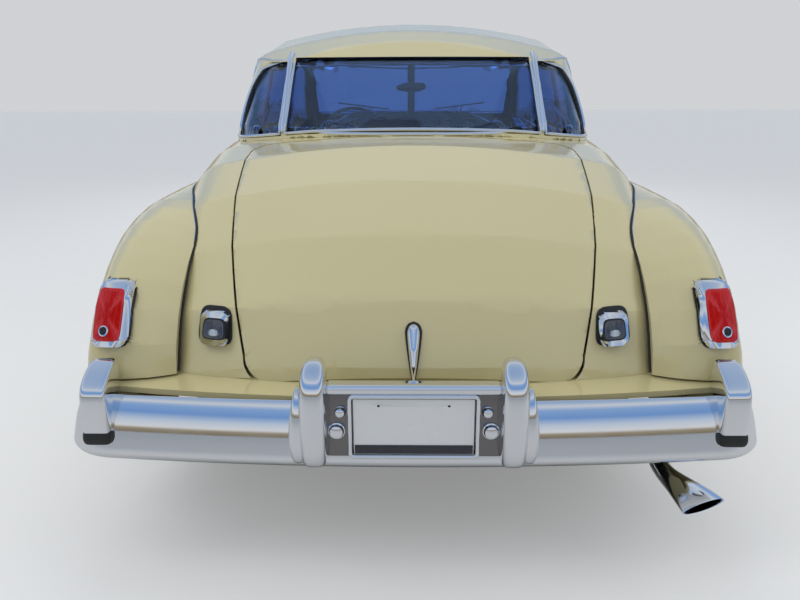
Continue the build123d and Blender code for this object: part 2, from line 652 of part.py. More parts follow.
for z in (520, 860):
    barrel = rod(DOOR_HINGE_X, DOOR_FRONT_Y - GAP / 2, z, BARREL_RADIUS, 50, "Z")
    leaf = block(800, DOOR_HINGE_X, DOOR_FRONT_Y - GAP + SEAT_GAP, DOOR_FRONT_Y - GAP / 2, z - 25, z + 25)
    leaf = leaf + block(790, 825, DOOR_FRONT_Y - 2 * GAP, DOOR_FRONT_Y - GAP / 2, z - 25, z + 25)
    cowl = cowl + barrel + leaf + mirrored(barrel + leaf)
keep("cowl", cowl)

# Nose panel under the bonnet, with the mouth that the grille fills
nose = (bonnet_outer - bonnet_inner) & block(-FAR, FAR, -FAR, NOSE_Y, NOSE_BOTTOM, FAR)
nose = nose - bonnet_cut - block(-MOUTH_HALF, MOUTH_HALF, -FAR, -2300, MOUTH_BOTTOM, MOUTH_TOP)
keep("nose_panel", only_solid(nose))


def swept_bar(section, y, half, wrap, way):
    """A bar across the car at y, bowed a little, whose ends wrap round towards the middle."""
    bow = 45.0
    bow_r = (half ** 2 + bow ** 2) / (2 * bow)
    end = (half, y - way * bow)
    turn = math.asin(half / bow_r)
    reach_angle = math.radians(78) - turn
    cx = end[0] - wrap * math.sin(turn)
    cy = end[1] - way * wrap * math.cos(turn)
    at = lambda a: (cx + wrap * math.sin(a), cy + way * wrap * math.cos(a))
    tip, mid = at(turn + reach_angle), at(turn + reach_angle / 2)
    path = Wire([
        Edge.make_three_point_arc((-tip[0], tip[1], 0), (-mid[0], mid[1], 0), (-end[0], end[1], 0)),
        Edge.make_three_point_arc((-end[0], end[1], 0), (0, y, 0), (end[0], end[1], 0)),
        Edge.make_three_point_arc((end[0], end[1], 0), (mid[0], mid[1], 0), (tip[0], tip[1], 0)),
    ])
    start = path @ 0
    profile = Plane(origin=start, x_dir=(0, 0, 1), z_dir=path % 0) * section
    return sweep(profile, path=path)


def blade(height, depth, way):
    """Section of a bumper face at the rear (way 1) or front (way -1): crowned outside, hollow behind."""
    depth, wall = -way * depth, -way * BUMPER_WALL
    outer = [(-height / 2, 0), (0, depth), (height / 2, 0)]
    inner = [(-height / 2 + BUMPER_WALL, 0), (0, depth - wall), (height / 2 - BUMPER_WALL, 0)]
    edges = [
        Edge.make_three_point_arc(*outer), Edge.make_line(outer[2], inner[2]),
        Edge.make_three_point_arc(inner[2], inner[1], inner[0]), Edge.make_line(inner[0], outer[0]),
    ]
    return Face(Wire(edges))


def guard(x, y, way):
    """An upright overrider on the bumper face: its head leans back over the bar and its edges are round."""
    at = lambda d, z: (x, y + way * d, z)
    outline = Wire([
        Edge.make_line(at(30, GUARD_LOW), at(70, GUARD_LOW)),
        Edge.make_three_point_arc(at(70, GUARD_LOW), at(96, GUARD_LOW + 16), at(104, GUARD_LOW + 50)),
        Edge.make_line(at(104, GUARD_LOW + 50), at(108, GUARD_HIGH - 120)),
        Edge.make_three_point_arc(at(108, GUARD_HIGH - 120), at(96, GUARD_HIGH - 40), at(52, GUARD_HIGH)),
        Edge.make_line(at(52, GUARD_HIGH), at(26, GUARD_HIGH - 22)),
        Edge.make_three_point_arc(at(26, GUARD_HIGH - 22), at(50, GUARD_HIGH - 85), at(30, GUARD_LOW)),
    ])
    body = Pos(-GUARD_WIDTH / 2, 0, 0) * Solid.extrude(Face(outline), Vector(GUARD_WIDTH, 0, 0))
    half = GUARD_WIDTH / 2
    column = block(x - half, x + half, y, y + way * 109, GUARD_LOW - 5, GUARD_HIGH + 5)
    outer_edges = [e for e in column.edges().filter_by(Axis.Z) if way * (e.center().Y - y) > 60]
    return body & fillet(outer_edges, 20)


def end_guard():
    """A post that stands on the outer end of the rear bar; its top slopes down towards the rear."""
    low, high, front, rear = END_GUARD_LOW, END_GUARD_HIGH, END_GUARD_FRONT_Y, END_GUARD_REAR_Y
    foot = APRON_Z + 2 * SEAT_GAP
    outline = [(front, foot), (front + 46, foot), (front + 62, low), (rear - 14, low), (rear, low + 20),
               (rear - 12, high - 42), (rear - 40, high - 14), (front + 10, high), (front, high - 12)]
    points = [(END_GUARD_INNER, y, z) for y, z in outline]
    side = Face(Wire([Edge.make_line(a, b) for a, b in zip(points, points[1:] + points[:1])]))
    post = Solid.extrude(side, Vector(END_GUARD_OUTER - END_GUARD_INNER, 0, 0))
    return fillet([e for e in post.edges().filter_by(Axis.Z, tolerance=25) if e.center().Y > rear - 20], 12)


def bumper(y, way):
    """Face bar, overriders, end guards and the brackets to the frame rails."""
    bar = Pos(0, 0, BUMPER_Z) * swept_bar(blade(BUMPER_HEIGHT, BUMPER_DEPTH, way), y, BUMPER_HALF,
                                          WRAP_RADIUS, way)
    rail_end = FRAME_REAR_Y if way > 0 else FRAME_FRONT_Y
    bracket = block(BUMPER_BRACKET_X - 25, BUMPER_BRACKET_X + 25, rail_end + way * SEAT_GAP, y + way * 40,
                    BRACKET_LOW, BRACKET_HIGH)
    bridge = block(-BUMPER_BRACKET_X - 25, BUMPER_BRACKET_X + 25, y + way * 6, y + way * 20, BRACKET_LOW,
                   BUMPER_Z + 18)
    whole = bar + bracket + mirrored(bracket) + bridge
    for x in (-GUARD_X, GUARD_X):
        whole = whole + guard(x, y, way)
    if way > 0:
        whole = whole + end_guard() + mirrored(end_guard())
    return whole


front_bumper = bumper(FRONT_BUMPER_Y, -1)
rear_bumper = bumper(REAR_BUMPER_Y, 1)
keep("front_bumper", front_bumper)

# Number plate in its frame between the rear overriders
plate_y = REAR_BUMPER_Y + BUMPER_DEPTH + 8
plate = block(-PLATE_WIDTH / 2, PLATE_WIDTH / 2, plate_y, plate_y + 3, PLATE_Z - PLATE_HEIGHT / 2,
              PLATE_Z + PLATE_HEIGHT / 2)
plate_back = block(-GUARD_X, GUARD_X, plate_y - 22, plate_y - SEAT_GAP, PLATE_Z - PLATE_HEIGHT / 2 - 8,
                   PLATE_Z + PLATE_HEIGHT / 2 + 8)
hood = fillet(block(-GUARD_X, GUARD_X, REAR_BUMPER_Y + 25, plate_y + 28, HOOD_LOW, HOOD_LOW + 30)
              .edges().filter_by(Axis.X), 10)
hood = hood + block(-GUARD_X, GUARD_X, REAR_BUMPER_Y + 30, REAR_BUMPER_Y + 50, BUMPER_Z + 40, HOOD_LOW + 10)
rear_bumper = rear_bumper + plate_back + hood
for x in (-PLATE_HOLE_X, PLATE_HOLE_X):
    hole = rod(x, plate_y, PLATE_Z + PLATE_HOLE_Z, PLATE_HOLE_RADIUS, 60, "Y")
    plate = plate - hole
    rear_bumper = rear_bumper - hole
keep("number_plate", plate)
keep("rear_bumper", rear_bumper)

# Painted apron that closes the gap between the body and the rear bumper
apron_right, apron_left = (-APRON_HALF, APRON_CORNER_Y, 0), (APRON_HALF, APRON_CORNER_Y, 0)
horn = [(APRON_HALF, APRON_CORNER_Y, 0), (APRON_HORN_X, APRON_HORN_Y, 0), (APRON_HORN_X, APRON_FRONT_Y, 0)]
rim = horn + [(-x, y, 0) for x, y, _ in reversed(horn)]
apron_face = Face(Wire([Edge.make_three_point_arc(apron_right, (0, REAR_BUMPER_Y - 6, 0), apron_left)]
                       + [Edge.make_line(a, b) for a, b in zip(rim, rim[1:])]))
rear_apron = Pos(0, 0, APRON_Z - SEAT_GAP - APRON_WALL) * Solid.extrude(apron_face, Vector(0, 0, APRON_WALL))
keep("rear_apron", rear_apron)

# Grille: uprights that fill the mouth's height and bars across them
grille_bars = []
for z in (478, 530, 582, 634, 672):
    grille_bars.append(block(-GRILLE_HALF, GRILLE_HALF, GRILLE_Y, GRILLE_Y + 22, z, z + 16))
grille_low, grille_high = MOUTH_BOTTOM + SEAT_GAP, MOUTH_TOP - SEAT_GAP
for x in (-300, -150, 150, 300):
    grille_bars.append(block(x - 7, x + 7, GRILLE_Y, GRILLE_Y + 60, grille_low, grille_high))
grille = grille_bars[0].fuse(*grille_bars[1:]) & (bonnet_outer - block(-FAR, FAR, -2300, FAR, 0, FAR))
keep("grille", only_solid(grille))

# Lamps: headlamps in round pods on the wings, with the parking lamps below them
front_lamps = []
for z, radius, front in ((LAMP_Z, LAMP_RADIUS, LAMP_Y), (PARKING_Z, PARKING_RADIUS, PARKING_Y)):
    x = LAMP_X
    pod = rod(x, front + 80, z, radius + 16, 160, "Y")
    front_wing = front_wing + (pod - wing_inner)
    front_wing = only_solid(front_wing - rod(x, front - 10, z, radius + SEAT_GAP, 120, "Y"))
    lens = rod(x, front, z, radius, 2 * radius, "Y")
    lens = lens & (Pos(x, front + 2.3 * radius, z) * Sphere(2.6 * radius))
    front_lamps.append(only_solid(lens & block(-FAR, FAR, -FAR, front + 50 - SEAT_GAP, 0, FAR)))
keep("front_wing_left", front_wing)
keep("front_wing_right", mirrored(front_wing))
keep("front_lamps", Compound(front_lamps + [mirrored(lamp) for lamp in front_lamps]))


def upright_lamp(x, z, half_width, half_height, corner, margin):
    """A prism along Y over a lamp's rounded outline."""
    wide, high = half_width + margin, half_height + margin
    prism = block(x - wide, x + wide, 1900, 2700, z - high, z + high)
    return fillet(prism.edges().filter_by(Axis.Y), corner + margin)


rear_wing_proud = wing_envelope(REAR_WING_ROWS, -LAMP_PROUD, REAR_SEAM_X)
rear_wing_seat = wing_envelope(REAR_WING_ROWS, PANEL_WALL - 4, REAR_SEAM_X - 2 * PANEL_WALL)
tail_lamp = upright_lamp(TAIL_LAMP_X, TAIL_LAMP_Z, 50, 78, 22, 0) & rear_wing_proud
tail_lamp = only_solid((tail_lamp - rear_wing_seat) & block(0, FAR, 2200, FAR, 0, FAR))
tail_seat = upright_lamp(TAIL_LAMP_X, TAIL_LAMP_Z, 50, 78, 22, SEAT_GAP)
tail_seat = tail_seat - wing_envelope(REAR_WING_ROWS, PANEL_WALL - 4 + SEAT_GAP, REAR_SEAM_X - 2 * PANEL_WALL)
rear_wing = only_solid(rear_wing - (tail_seat & block(0, FAR, 2200, FAR, 0, FAR)))
keep("rear_wing_left", rear_wing)
keep("rear_wing_right", mirrored(rear_wing))
reverse_lamp = upright_lamp(REVERSE_LAMP_X, REVERSE_LAMP_Z, 42, 42, 18, 0) & body_envelope(-LAMP_PROUD)
reverse_lamp = only_solid(reverse_lamp - body_clear)
keep("rear_lamps", Compound([tail_lamp, mirrored(tail_lamp), reverse_lamp, mirrored(reverse_lamp)]))

# Frame: two rails with a rise over the rear axle, cross-members and the body mounts
RAIL_STATIONS = [(FRAME_FRONT_Y, RAIL_NOSE_RISE), (-2330, RAIL_NOSE_RISE), (-2180, 0), (850, 0),
                 (1130, RAIL_RISE), (1680, RAIL_RISE), (1980, RAIL_TAIL_RISE), (FRAME_REAR_Y, RAIL_TAIL_RISE)]
rail_line = [(y, RAIL_BOTTOM + rise) for y, rise in RAIL_STATIONS]
rail_outline = rail_line + [(y, z + RAIL_HEIGHT) for y, z in reversed(rail_line)]
rail = side_prism(rail_outline, RAIL_X - RAIL_WIDTH / 2, RAIL_X + RAIL_WIDTH / 2)
frame = [rail, mirrored(rail)]
rail_in, rail_out = RAIL_X - RAIL_WIDTH / 2 - SEAT_GAP, RAIL_X + RAIL_WIDTH / 2 + SEAT_GAP
cross_members = [(y, 8) for y in HANGER_YS] + [(-2380, RAIL_NOSE_RISE + 10), (1700, RAIL_RISE + 8),
                                               (2300, RAIL_TAIL_RISE + 10)]
for y, rise in cross_members:
    frame.append(block(-rail_in, rail_in, y - 40, y + 40, RAIL_BOTTOM + rise, RAIL_BOTTOM + rise + 60))
for end, way in ((SPRING_FRONT_Y, -1), (SPRING_REAR_Y, 1)):
    low = 290 if way < 0 else 330
    hanger = block(rail_out, SPRING_X + SPRING_WIDTH / 2, end + way * SEAT_GAP, end + way * 35, low, low + 32)
    frame = frame + [hanger, mirrored(hanger)]
for y in (-880, 60, 900):
    outrigger = block(rail_out, 850, y - 35, y + 35, RAIL_BOTTOM + 20, SILL_BOTTOM - SEAT_GAP)
    frame = frame + [outrigger, mirrored(outrigger)]
keep("chassis_frame", Compound(frame))

# Floor: cabin floor with its tunnel, heel board, boot floor and the inner sides of the rear wheel houses
floor_top = RAIL_BOTTOM + RAIL_HEIGHT + SEAT_GAP
front_y = COWL_Y + PANEL_WALL + SEAT_GAP
tunnel_half = 150.0
heel = HEEL_FRONT_Y - FLOOR_WALL
step = HEEL_REAR_Y - FLOOR_WALL
bulkhead_rear = BULKHEAD_Y + FLOOR_WALL
boot_top = BOOT_FLOOR_Z + FLOOR_WALL
boot_half = WHEELHOUSE_X - FLOOR_WALL - SEAT_GAP
# x from, x to, y from, y to, z from, z to
FLOOR_SHEETS = [
    (tunnel_half, 700, front_y, heel - SEAT_GAP, floor_top, floor_top + FLOOR_WALL),
    (tunnel_half - FLOOR_WALL, tunnel_half - SEAT_GAP, front_y, heel - SEAT_GAP, floor_top,
     TUNNEL_TOP - FLOOR_WALL),
    (-tunnel_half, tunnel_half, front_y, heel - SEAT_GAP, TUNNEL_TOP - FLOOR_WALL + SEAT_GAP, TUNNEL_TOP),
    (tunnel_half - FLOOR_WALL, WHEELHOUSE_X, heel, HEEL_FRONT_Y, floor_top, PAN_Z),
    (-WHEELHOUSE_X, WHEELHOUSE_X, heel, step - SEAT_GAP, PAN_Z + SEAT_GAP, PAN_Z + FLOOR_WALL),
    (-WHEELHOUSE_X, WHEELHOUSE_X, step, HEEL_REAR_Y, PAN_Z, BOOT_FLOOR_Z - SEAT_GAP),
    (-boot_half, boot_half, step, BULKHEAD_Y - SEAT_GAP, BOOT_FLOOR_Z, boot_top),
    (-boot_half, boot_half, bulkhead_rear + SEAT_GAP, BOOT_FLOOR_REAR_Y, BOOT_FLOOR_Z, boot_top),
    (-boot_half, boot_half, BULKHEAD_Y, bulkhead_rear, BOOT_FLOOR_Z, SHELF_Z - SEAT_GAP),
    (-FAR, FAR, BULKHEAD_Y, SHELF_REAR_Y, SHELF_Z, SHELF_Z + FLOOR_WALL),
    (WHEELHOUSE_X - FLOOR_WALL, WHEELHOUSE_X, step, WHEELHOUSE_REAR_Y, BOOT_FLOOR_Z, WHEELHOUSE_TOP),
    (WHEELHOUSE_X - FLOOR_WALL, 880, HEEL_REAR_Y, WHEELHOUSE_REAR_Y, WHEELHOUSE_TOP + SEAT_GAP,
     WHEELHOUSE_TOP + FLOOR_WALL),
]
floor_room = body_envelope(PANEL_WALL + FLOOR_MARGIN)
floor = []
for sheet in FLOOR_SHEETS:
    plate = block(*sheet) & floor_room
    floor.append(plate)
    if sheet[0] > 0:
        floor.append(mirrored(plate))
keep("floor_pan", Compound([only_solid(plate) for plate in floor]))


def revolved(points, x):
    """A ring or disc round the wheel's axle at the origin, from (x, radius) corners."""
    corners = [(along, radius, 0) for along, radius in points]
    outline = Wire([Edge.make_line(a, b) for a, b in zip(corners, corners[1:] + corners[:1])])
    return Pos(x, 0, 0) * Solid.revolve(Face(outline), 360, Axis.X)


def tyre_section():
    w, r0, r1 = TYRE_WIDTH / 2, RIM_RADIUS, TYRE_RADIUS
    edges = [
        Edge.make_line((-w + 26, r0, 0), (w - 26, r0, 0)),
        Edge.make_three_point_arc((w - 26, r0, 0), (w, (r0 + r1) / 2, 0), (w - 30, r1 - 8, 0)),
        Edge.make_three_point_arc((w - 30, r1 - 8, 0), (0, r1, 0), (-w + 30, r1 - 8, 0)),
        Edge.make_three_point_arc((-w + 30, r1 - 8, 0), (-w, (r0 + r1) / 2, 0), (-w + 26, r0, 0)),
    ]
    return Face(Wire(edges))


tyre = Solid.revolve(tyre_section(), 360, Axis.X)
half_rim = RIM_WIDTH / 2
wheel_points = [(-half_rim, RIM_RADIUS - 14), (-half_rim, RIM_RADIUS), (half_rim, RIM_RADIUS),
                (half_rim, RIM_RADIUS - 30), (half_rim + 12, HUB_RADIUS + 70), (half_rim + 16, 0),
                (BORE_END, 0),
                (BORE_END, SPINDLE_RADIUS + RUNNING), (HUB_FACE, SPINDLE_RADIUS + RUNNING),
                (HUB_FACE, HUB_RADIUS), (44, RIM_RADIUS - 26), (-half_rim + 20, RIM_RADIUS - 22)]
wheel = revolved(wheel_points, 0)
WHEELS = (("front_left", TRACK_FRONT / 2, FRONT_AXLE_Y), ("front_right", -TRACK_FRONT / 2, FRONT_AXLE_Y),
          ("rear_left", TRACK_REAR / 2, REAR_AXLE_Y), ("rear_right", -TRACK_REAR / 2, REAR_AXLE_Y))
for name, x, y in WHEELS:
    turn = Rot(0, 0, 0) if x > 0 else Rot(0, 0, 180)
    keep("wheel_" + name, Pos(x, y, AXLE_Z) * turn * wheel)
    keep("tyre_" + name, Pos(x, y, AXLE_Z) * turn * tyre)

# Rear axle with its differential, springs and the propeller shaft
axle = rod(0, REAR_AXLE_Y, AXLE_Z, 38, 2 * (TRACK_REAR / 2 + HUB_FACE - SEAT_GAP), "X")
axle = axle + rod(0, REAR_AXLE_Y, AXLE_Z, SPINDLE_RADIUS, 2 * (TRACK_REAR / 2 + BORE_END - 1), "X")
for x in (-TRACK_REAR / 2 + 10, TRACK_REAR / 2 - 10):
    axle = axle + rod(x, REAR_AXLE_Y, AXLE_Z, RIM_RADIUS - 55, 40, "X")
axle = axle + Pos(0, REAR_AXLE_Y, AXLE_Z) * Sphere(118)
axle = axle + rod(0, REAR_AXLE_Y - 140, AXLE_Z, 45, 120, "Y")
shaft_front = -640.0
shaft = rod(0, (shaft_front + REAR_AXLE_Y - 190) / 2, AXLE_Z, 36, REAR_AXLE_Y - 190 - shaft_front, "Y")
axle = axle + shaft
spring_at = lambda y, z: (SPRING_X - SPRING_WIDTH / 2, y, z)
spring_front, spring_mid, spring_rear = 300, 322, 330
leaf_stack = 32
spring_outline = Wire([
    Edge.make_three_point_arc(spring_at(SPRING_FRONT_Y, spring_front), spring_at(REAR_AXLE_Y, spring_mid),
                              spring_at(SPRING_REAR_Y, spring_rear)),
    Edge.make_line(spring_at(SPRING_REAR_Y, spring_rear), spring_at(SPRING_REAR_Y, spring_rear + leaf_stack)),
    Edge.make_three_point_arc(spring_at(SPRING_REAR_Y, spring_rear + leaf_stack),
                              spring_at(REAR_AXLE_Y, spring_mid + leaf_stack),
                              spring_at(SPRING_FRONT_Y, spring_front + leaf_stack)),
    Edge.make_line(spring_at(SPRING_FRONT_Y, spring_front + leaf_stack),
                   spring_at(SPRING_FRONT_Y, spring_front)),
])
spring = Solid.extrude(Face(spring_outline), Vector(SPRING_WIDTH, 0, 0))
axle = axle + spring + mirrored(spring)
keep("rear_axle", axle)

# Front cross-member and suspension arms that carry the knuckles
cross_half = RAIL_X + RAIL_WIDTH / 2
suspension = block(-cross_half, cross_half, FRONT_AXLE_Y - 90, FRONT_AXLE_Y + 90, 120, RAIL_BOTTOM - SEAT_GAP)
for flip in (1, -1):
    for z0, z1, width in ((LOWER_ARM_Z, LOWER_ARM_Z + 24, 70), (UPPER_ARM_Z, UPPER_ARM_Z + 22, 46)):
        x0, x1 = sorted((flip * 290, flip * (KINGPIN_X + 22)))
        suspension = suspension + block(x0, x1, FRONT_AXLE_Y - width / 2, FRONT_AXLE_Y + width / 2, z0, z1)
    x0, x1 = sorted((flip * 284, flip * 312))
    post = block(x0, x1, FRONT_AXLE_Y - 60, FRONT_AXLE_Y + 60, LOWER_ARM_Z, UPPER_ARM_Z + 22)
    suspension = suspension + post
for x in (-KINGPIN_X, KINGPIN_X):
    suspension = suspension - rod(x, FRONT_AXLE_Y, 330, KINGPIN_RADIUS + RUNNING, 600, "Z")
keep("front_suspension", suspension)

# Knuckles with their steering arms, and the track rod that joins them
spindle_end = TRACK_FRONT / 2 + HUB_FACE - SEAT_GAP
for name, flip in (("left", 1), ("right", -1)):
    x = flip * KINGPIN_X
    knuckle = rod(x, FRONT_AXLE_Y, 342, KINGPIN_RADIUS, 316, "Z")
    low, high = LOWER_ARM_Z + 24 + SEAT_GAP, UPPER_ARM_Z - SEAT_GAP
    knuckle = knuckle + rod(x, FRONT_AXLE_Y, (low + high) / 2, 26, high - low, "Z")
    stub_middle, stub_length = (x + flip * spindle_end) / 2, spindle_end - KINGPIN_X
    knuckle = knuckle + rod(stub_middle, FRONT_AXLE_Y, AXLE_Z, 34, stub_length, "X")
    bore_end = TRACK_FRONT / 2 + BORE_END - 1
    pin_middle, pin_length = (x + flip * bore_end) / 2, bore_end - KINGPIN_X
    knuckle = knuckle + rod(pin_middle, FRONT_AXLE_Y, AXLE_Z, SPINDLE_RADIUS, pin_length, "X")
    knuckle = knuckle + rod(flip * (TRACK_FRONT / 2 - 12), FRONT_AXLE_Y, AXLE_Z, RIM_RADIUS - 55, 40, "X")
    arm = block(x - 13, x + 13, FRONT_AXLE_Y, FRONT_AXLE_Y + STEER_ARM + 16, STEER_ARM_Z, STEER_ARM_Z + 20)
    arm = arm - rod(x, FRONT_AXLE_Y + STEER_ARM, STEER_ARM_Z, 8 + (RUNNING if flip > 0 else 1.0), 60, "Z")
    keep("knuckle_" + name, knuckle + arm)
track_rod = rod(0, FRONT_AXLE_Y + STEER_ARM, TRACK_ROD_Z, TRACK_ROD_RADIUS, 2 * KINGPIN_X + 30, "X")
pin_top = STEER_ARM_Z + 18
pin_middle = (TRACK_ROD_Z + pin_top) / 2
for x in (-KINGPIN_X, KINGPIN_X):
    track_rod = track_rod + rod(x, FRONT_AXLE_Y + STEER_ARM, pin_middle, 8, pin_top - TRACK_ROD_Z, "Z")
keep("track_rod", track_rod)

# Engine, radiator and fuel tank
engine = block(-ENGINE_HALF, ENGINE_HALF, ENGINE_FRONT_Y, ENGINE_REAR_Y, RAIL_BOTTOM, ENGINE_TOP)
for flip in (1, -1):
    bank = Rot(0, flip * BANK_LEAN, 0) * block(-95, 95, ENGINE_FRONT_Y + 30, ENGINE_REAR_Y - 30, 120, 430)
    engine = engine + Pos(0, 0, 330) * bank
radiator = block(-rail_in, rail_in, RADIATOR_Y, RADIATOR_Y + 65, 300, 780)
keep("engine", Compound([only_solid(engine), radiator]))
tank = block(-TANK_HALF, TANK_HALF, TANK_FRONT_Y, TANK_FRONT_Y + 395, 300, BOOT_FLOOR_Z - SEAT_GAP)
tank = fillet(tank.edges().filter_by(Axis.X), 45)
keep("fuel_tank", tank)

# Exhaust with a silencer ahead of the axle and a flattened tip behind the right rear wheel
pipe_line = [(PIPE_X, -1280, PIPE_Z), (PIPE_X, 900, PIPE_Z), (-270, 1240, 470), (-270, 1500, 470),
             (-300, 1740, 250), (TIP_X + 20, 1990, TIP_Z), (TIP_X, 2400, TIP_Z)]
pipe_path = FilletPolyline(*pipe_line, radius=[110, 90, 90, 90, 110])
pipe = sweep(Plane(origin=pipe_path @ 0, z_dir=pipe_path % 0) * Circle(PIPE_RADIUS), path=pipe_path)
silencer = rod(PIPE_X, 440, PIPE_Z, 68, 600, "Y")
tip_plan = [(-34, 2380), (34, 2380), (105, 2545), (-105, 2545)]
tip_outline = Wire([Edge.make_line((TIP_X + a, b, TIP_Z - 28), (TIP_X + c, d, TIP_Z - 28)) for (a, b), (c, d)
                    in zip(tip_plan, tip_plan[1:] + tip_plan[:1])])
tip = Solid.extrude(Face(tip_outline), Vector(0, 0, 56))
tip = tip - block(TIP_X - 84, TIP_X + 84, 2500, 2600, TIP_Z - 20, TIP_Z + 20)
exhaust = pipe + silencer + tip
for y in HANGER_YS:
    exhaust = exhaust + block(PIPE_X - 10, PIPE_X + 10, y - 10, y + 10, PIPE_Z, RAIL_BOTTOM + 8 - SEAT_GAP)
keep("exhaust", exhaust)

# Benches
floor_line = RAIL_BOTTOM + RAIL_HEIGHT + 2 * SEAT_GAP + FLOOR_WALL


def leaning_drop(lean):
    """How far a leaning backrest's rounded foot reaches below its front corner."""
    s, c = math.sin(math.radians(lean)), math.cos(math.radians(lean))
    return BENCH_CORNER + (BACKREST - BENCH_CORNER) * s - BENCH_CORNER * c


def bench(y, half, floor_z, cushion_z, length, back_height, lean, plinth_gap):
    """A cushion on its plinth and a backrest that leans, as soft blocks."""
    cushion = block(-half, half, y, y + length, cushion_z, cushion_z + CUSHION)
    cushion = fillet(cushion.edges().filter_by(Axis.X), BENCH_CORNER)
    base = cushion
    drop = leaning_drop(lean)
    for flip in (1, -1):
        x0, x1 = sorted((flip * plinth_gap, flip * (half - 60)))
        base = base + block(x0, x1, y + 60, y + length - 10, floor_z, cushion_z + 5)
        base = base + block(x0, x1, y + length - 10, y + length + BACKREST, cushion_z - 10,
                            cushion_z + 60 - drop - SEAT_GAP)
    back = block(-half, half, 0, BACKREST, 0, back_height)
    back = fillet(back.edges().filter_by(Axis.X), BENCH_CORNER)
    back = Pos(0, y + length + SEAT_GAP, cushion_z + 60) * Rot(-lean, 0, 0) * back
    return Compound([only_solid(base), back])


keep("front_bench", bench(-280, 640, floor_line, TUNNEL_TOP + 6, 520, 470, 12, 165))
pan_top = PAN_Z + FLOOR_WALL + SEAT_GAP
rear_cushion = block(-REAR_BENCH_HALF, REAR_BENCH_HALF, 560, step - SEAT_GAP, pan_top, 640)
rear_cushion = fillet(rear_cushion.edges().filter_by(Axis.X), BENCH_CORNER)
tunnel_room = tunnel_half + SEAT_GAP
rear_cushion = rear_cushion - block(-tunnel_room, tunnel_room, 0, HEEL_FRONT_Y + SEAT_GAP, 0,
                                    TUNNEL_TOP + SEAT_GAP)
rear_back = block(-REAR_BENCH_HALF, REAR_BENCH_HALF, 0, BACKREST, 0, 430)
rear_back = fillet(rear_back.edges().filter_by(Axis.X), BENCH_CORNER)
back_foot = boot_top + SEAT_GAP + leaning_drop(REAR_BACK_LEAN)
rear_back = Pos(0, HEEL_REAR_Y + 30, back_foot) * Rot(-REAR_BACK_LEAN, 0, 0) * rear_back
keep("rear_bench", Compound([rear_cushion, rear_back]))

# Dashboard with the steering column
s_rake, c_rake = math.sin(math.radians(STEERING_RAKE)), math.cos(math.radians(STEERING_RAKE))
dash = block(-719, 719, COWL_Y + PANEL_WALL + SEAT_GAP, -800, 830, 1005)
dash = fillet(dash.edges().filter_by(Axis.X).sort_by(Axis.Y)[-2:], 40)
on_column = Pos(STEERING_WHEEL_X, STEERING_WHEEL_Y, STEERING_WHEEL_Z) * Rot(STEERING_RAKE - 90, 0, 0)
column = on_column * Pos(0, 0, -18 - SEAT_GAP - 350) * Cylinder(26, 700)
column = column & block(0, FAR, COWL_Y + PANEL_WALL + SEAT_GAP, FAR, 0, FAR)
bracket = block(STEERING_WHEEL_X - 40, STEERING_WHEEL_X + 40, -860, -820, 740, 850)
keep("dashboard", only_solid(dash + column + bracket))
ring = Torus(STEERING_WHEEL_RADIUS - 11, 11)
spokes = Cylinder(34, 36) + Box(2 * STEERING_WHEEL_RADIUS - 24, 26, 12) + Pos(0, -100, 0) * Box(26, 200, 12)
keep("steering_wheel", on_column * (ring + spokes))

os.makedirs("parts", exist_ok=True)
for name, shape in NODES.items():
    export_step(shape, "parts/" + name + ".step")
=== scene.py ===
# %% [markdown]
# # A 1950s two-door hardtop, dressed for the camera
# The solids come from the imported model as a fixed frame. This lesson gives each panel its paint,
# adds the bright trim, lamps, seats and tyres, and ends with a camera behind the car.

# %% Load the frame
import bpy
import bmesh
import json
import math
import numpy as np
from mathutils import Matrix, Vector
from mathutils.bvhtree import BVHTree
from mathutils.kdtree import KDTree


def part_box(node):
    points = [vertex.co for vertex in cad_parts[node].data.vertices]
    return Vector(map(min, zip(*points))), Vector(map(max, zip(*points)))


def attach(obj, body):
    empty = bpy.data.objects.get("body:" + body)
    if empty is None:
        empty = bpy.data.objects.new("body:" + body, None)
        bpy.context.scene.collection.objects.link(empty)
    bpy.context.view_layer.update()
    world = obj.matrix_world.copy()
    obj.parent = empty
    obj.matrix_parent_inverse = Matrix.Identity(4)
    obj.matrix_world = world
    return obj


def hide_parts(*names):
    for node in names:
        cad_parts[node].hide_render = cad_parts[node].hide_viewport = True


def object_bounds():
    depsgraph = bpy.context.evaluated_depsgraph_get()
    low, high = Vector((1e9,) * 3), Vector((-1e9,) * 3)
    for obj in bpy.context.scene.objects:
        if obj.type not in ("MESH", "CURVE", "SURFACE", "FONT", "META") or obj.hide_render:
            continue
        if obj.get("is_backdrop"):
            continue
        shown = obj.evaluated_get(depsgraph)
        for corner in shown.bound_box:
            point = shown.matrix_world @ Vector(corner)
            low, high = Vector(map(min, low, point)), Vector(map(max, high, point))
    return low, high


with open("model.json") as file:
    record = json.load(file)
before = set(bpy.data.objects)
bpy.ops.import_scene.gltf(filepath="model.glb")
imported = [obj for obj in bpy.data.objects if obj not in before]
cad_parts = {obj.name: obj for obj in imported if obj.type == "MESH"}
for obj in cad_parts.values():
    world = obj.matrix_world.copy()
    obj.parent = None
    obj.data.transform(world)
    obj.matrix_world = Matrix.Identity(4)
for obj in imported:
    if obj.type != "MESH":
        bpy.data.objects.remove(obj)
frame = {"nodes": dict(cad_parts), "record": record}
cad_low, cad_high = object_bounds()
print("solids from", [round(c, 3) for c in cad_low], "to", [round(c, 3) for c in cad_high])
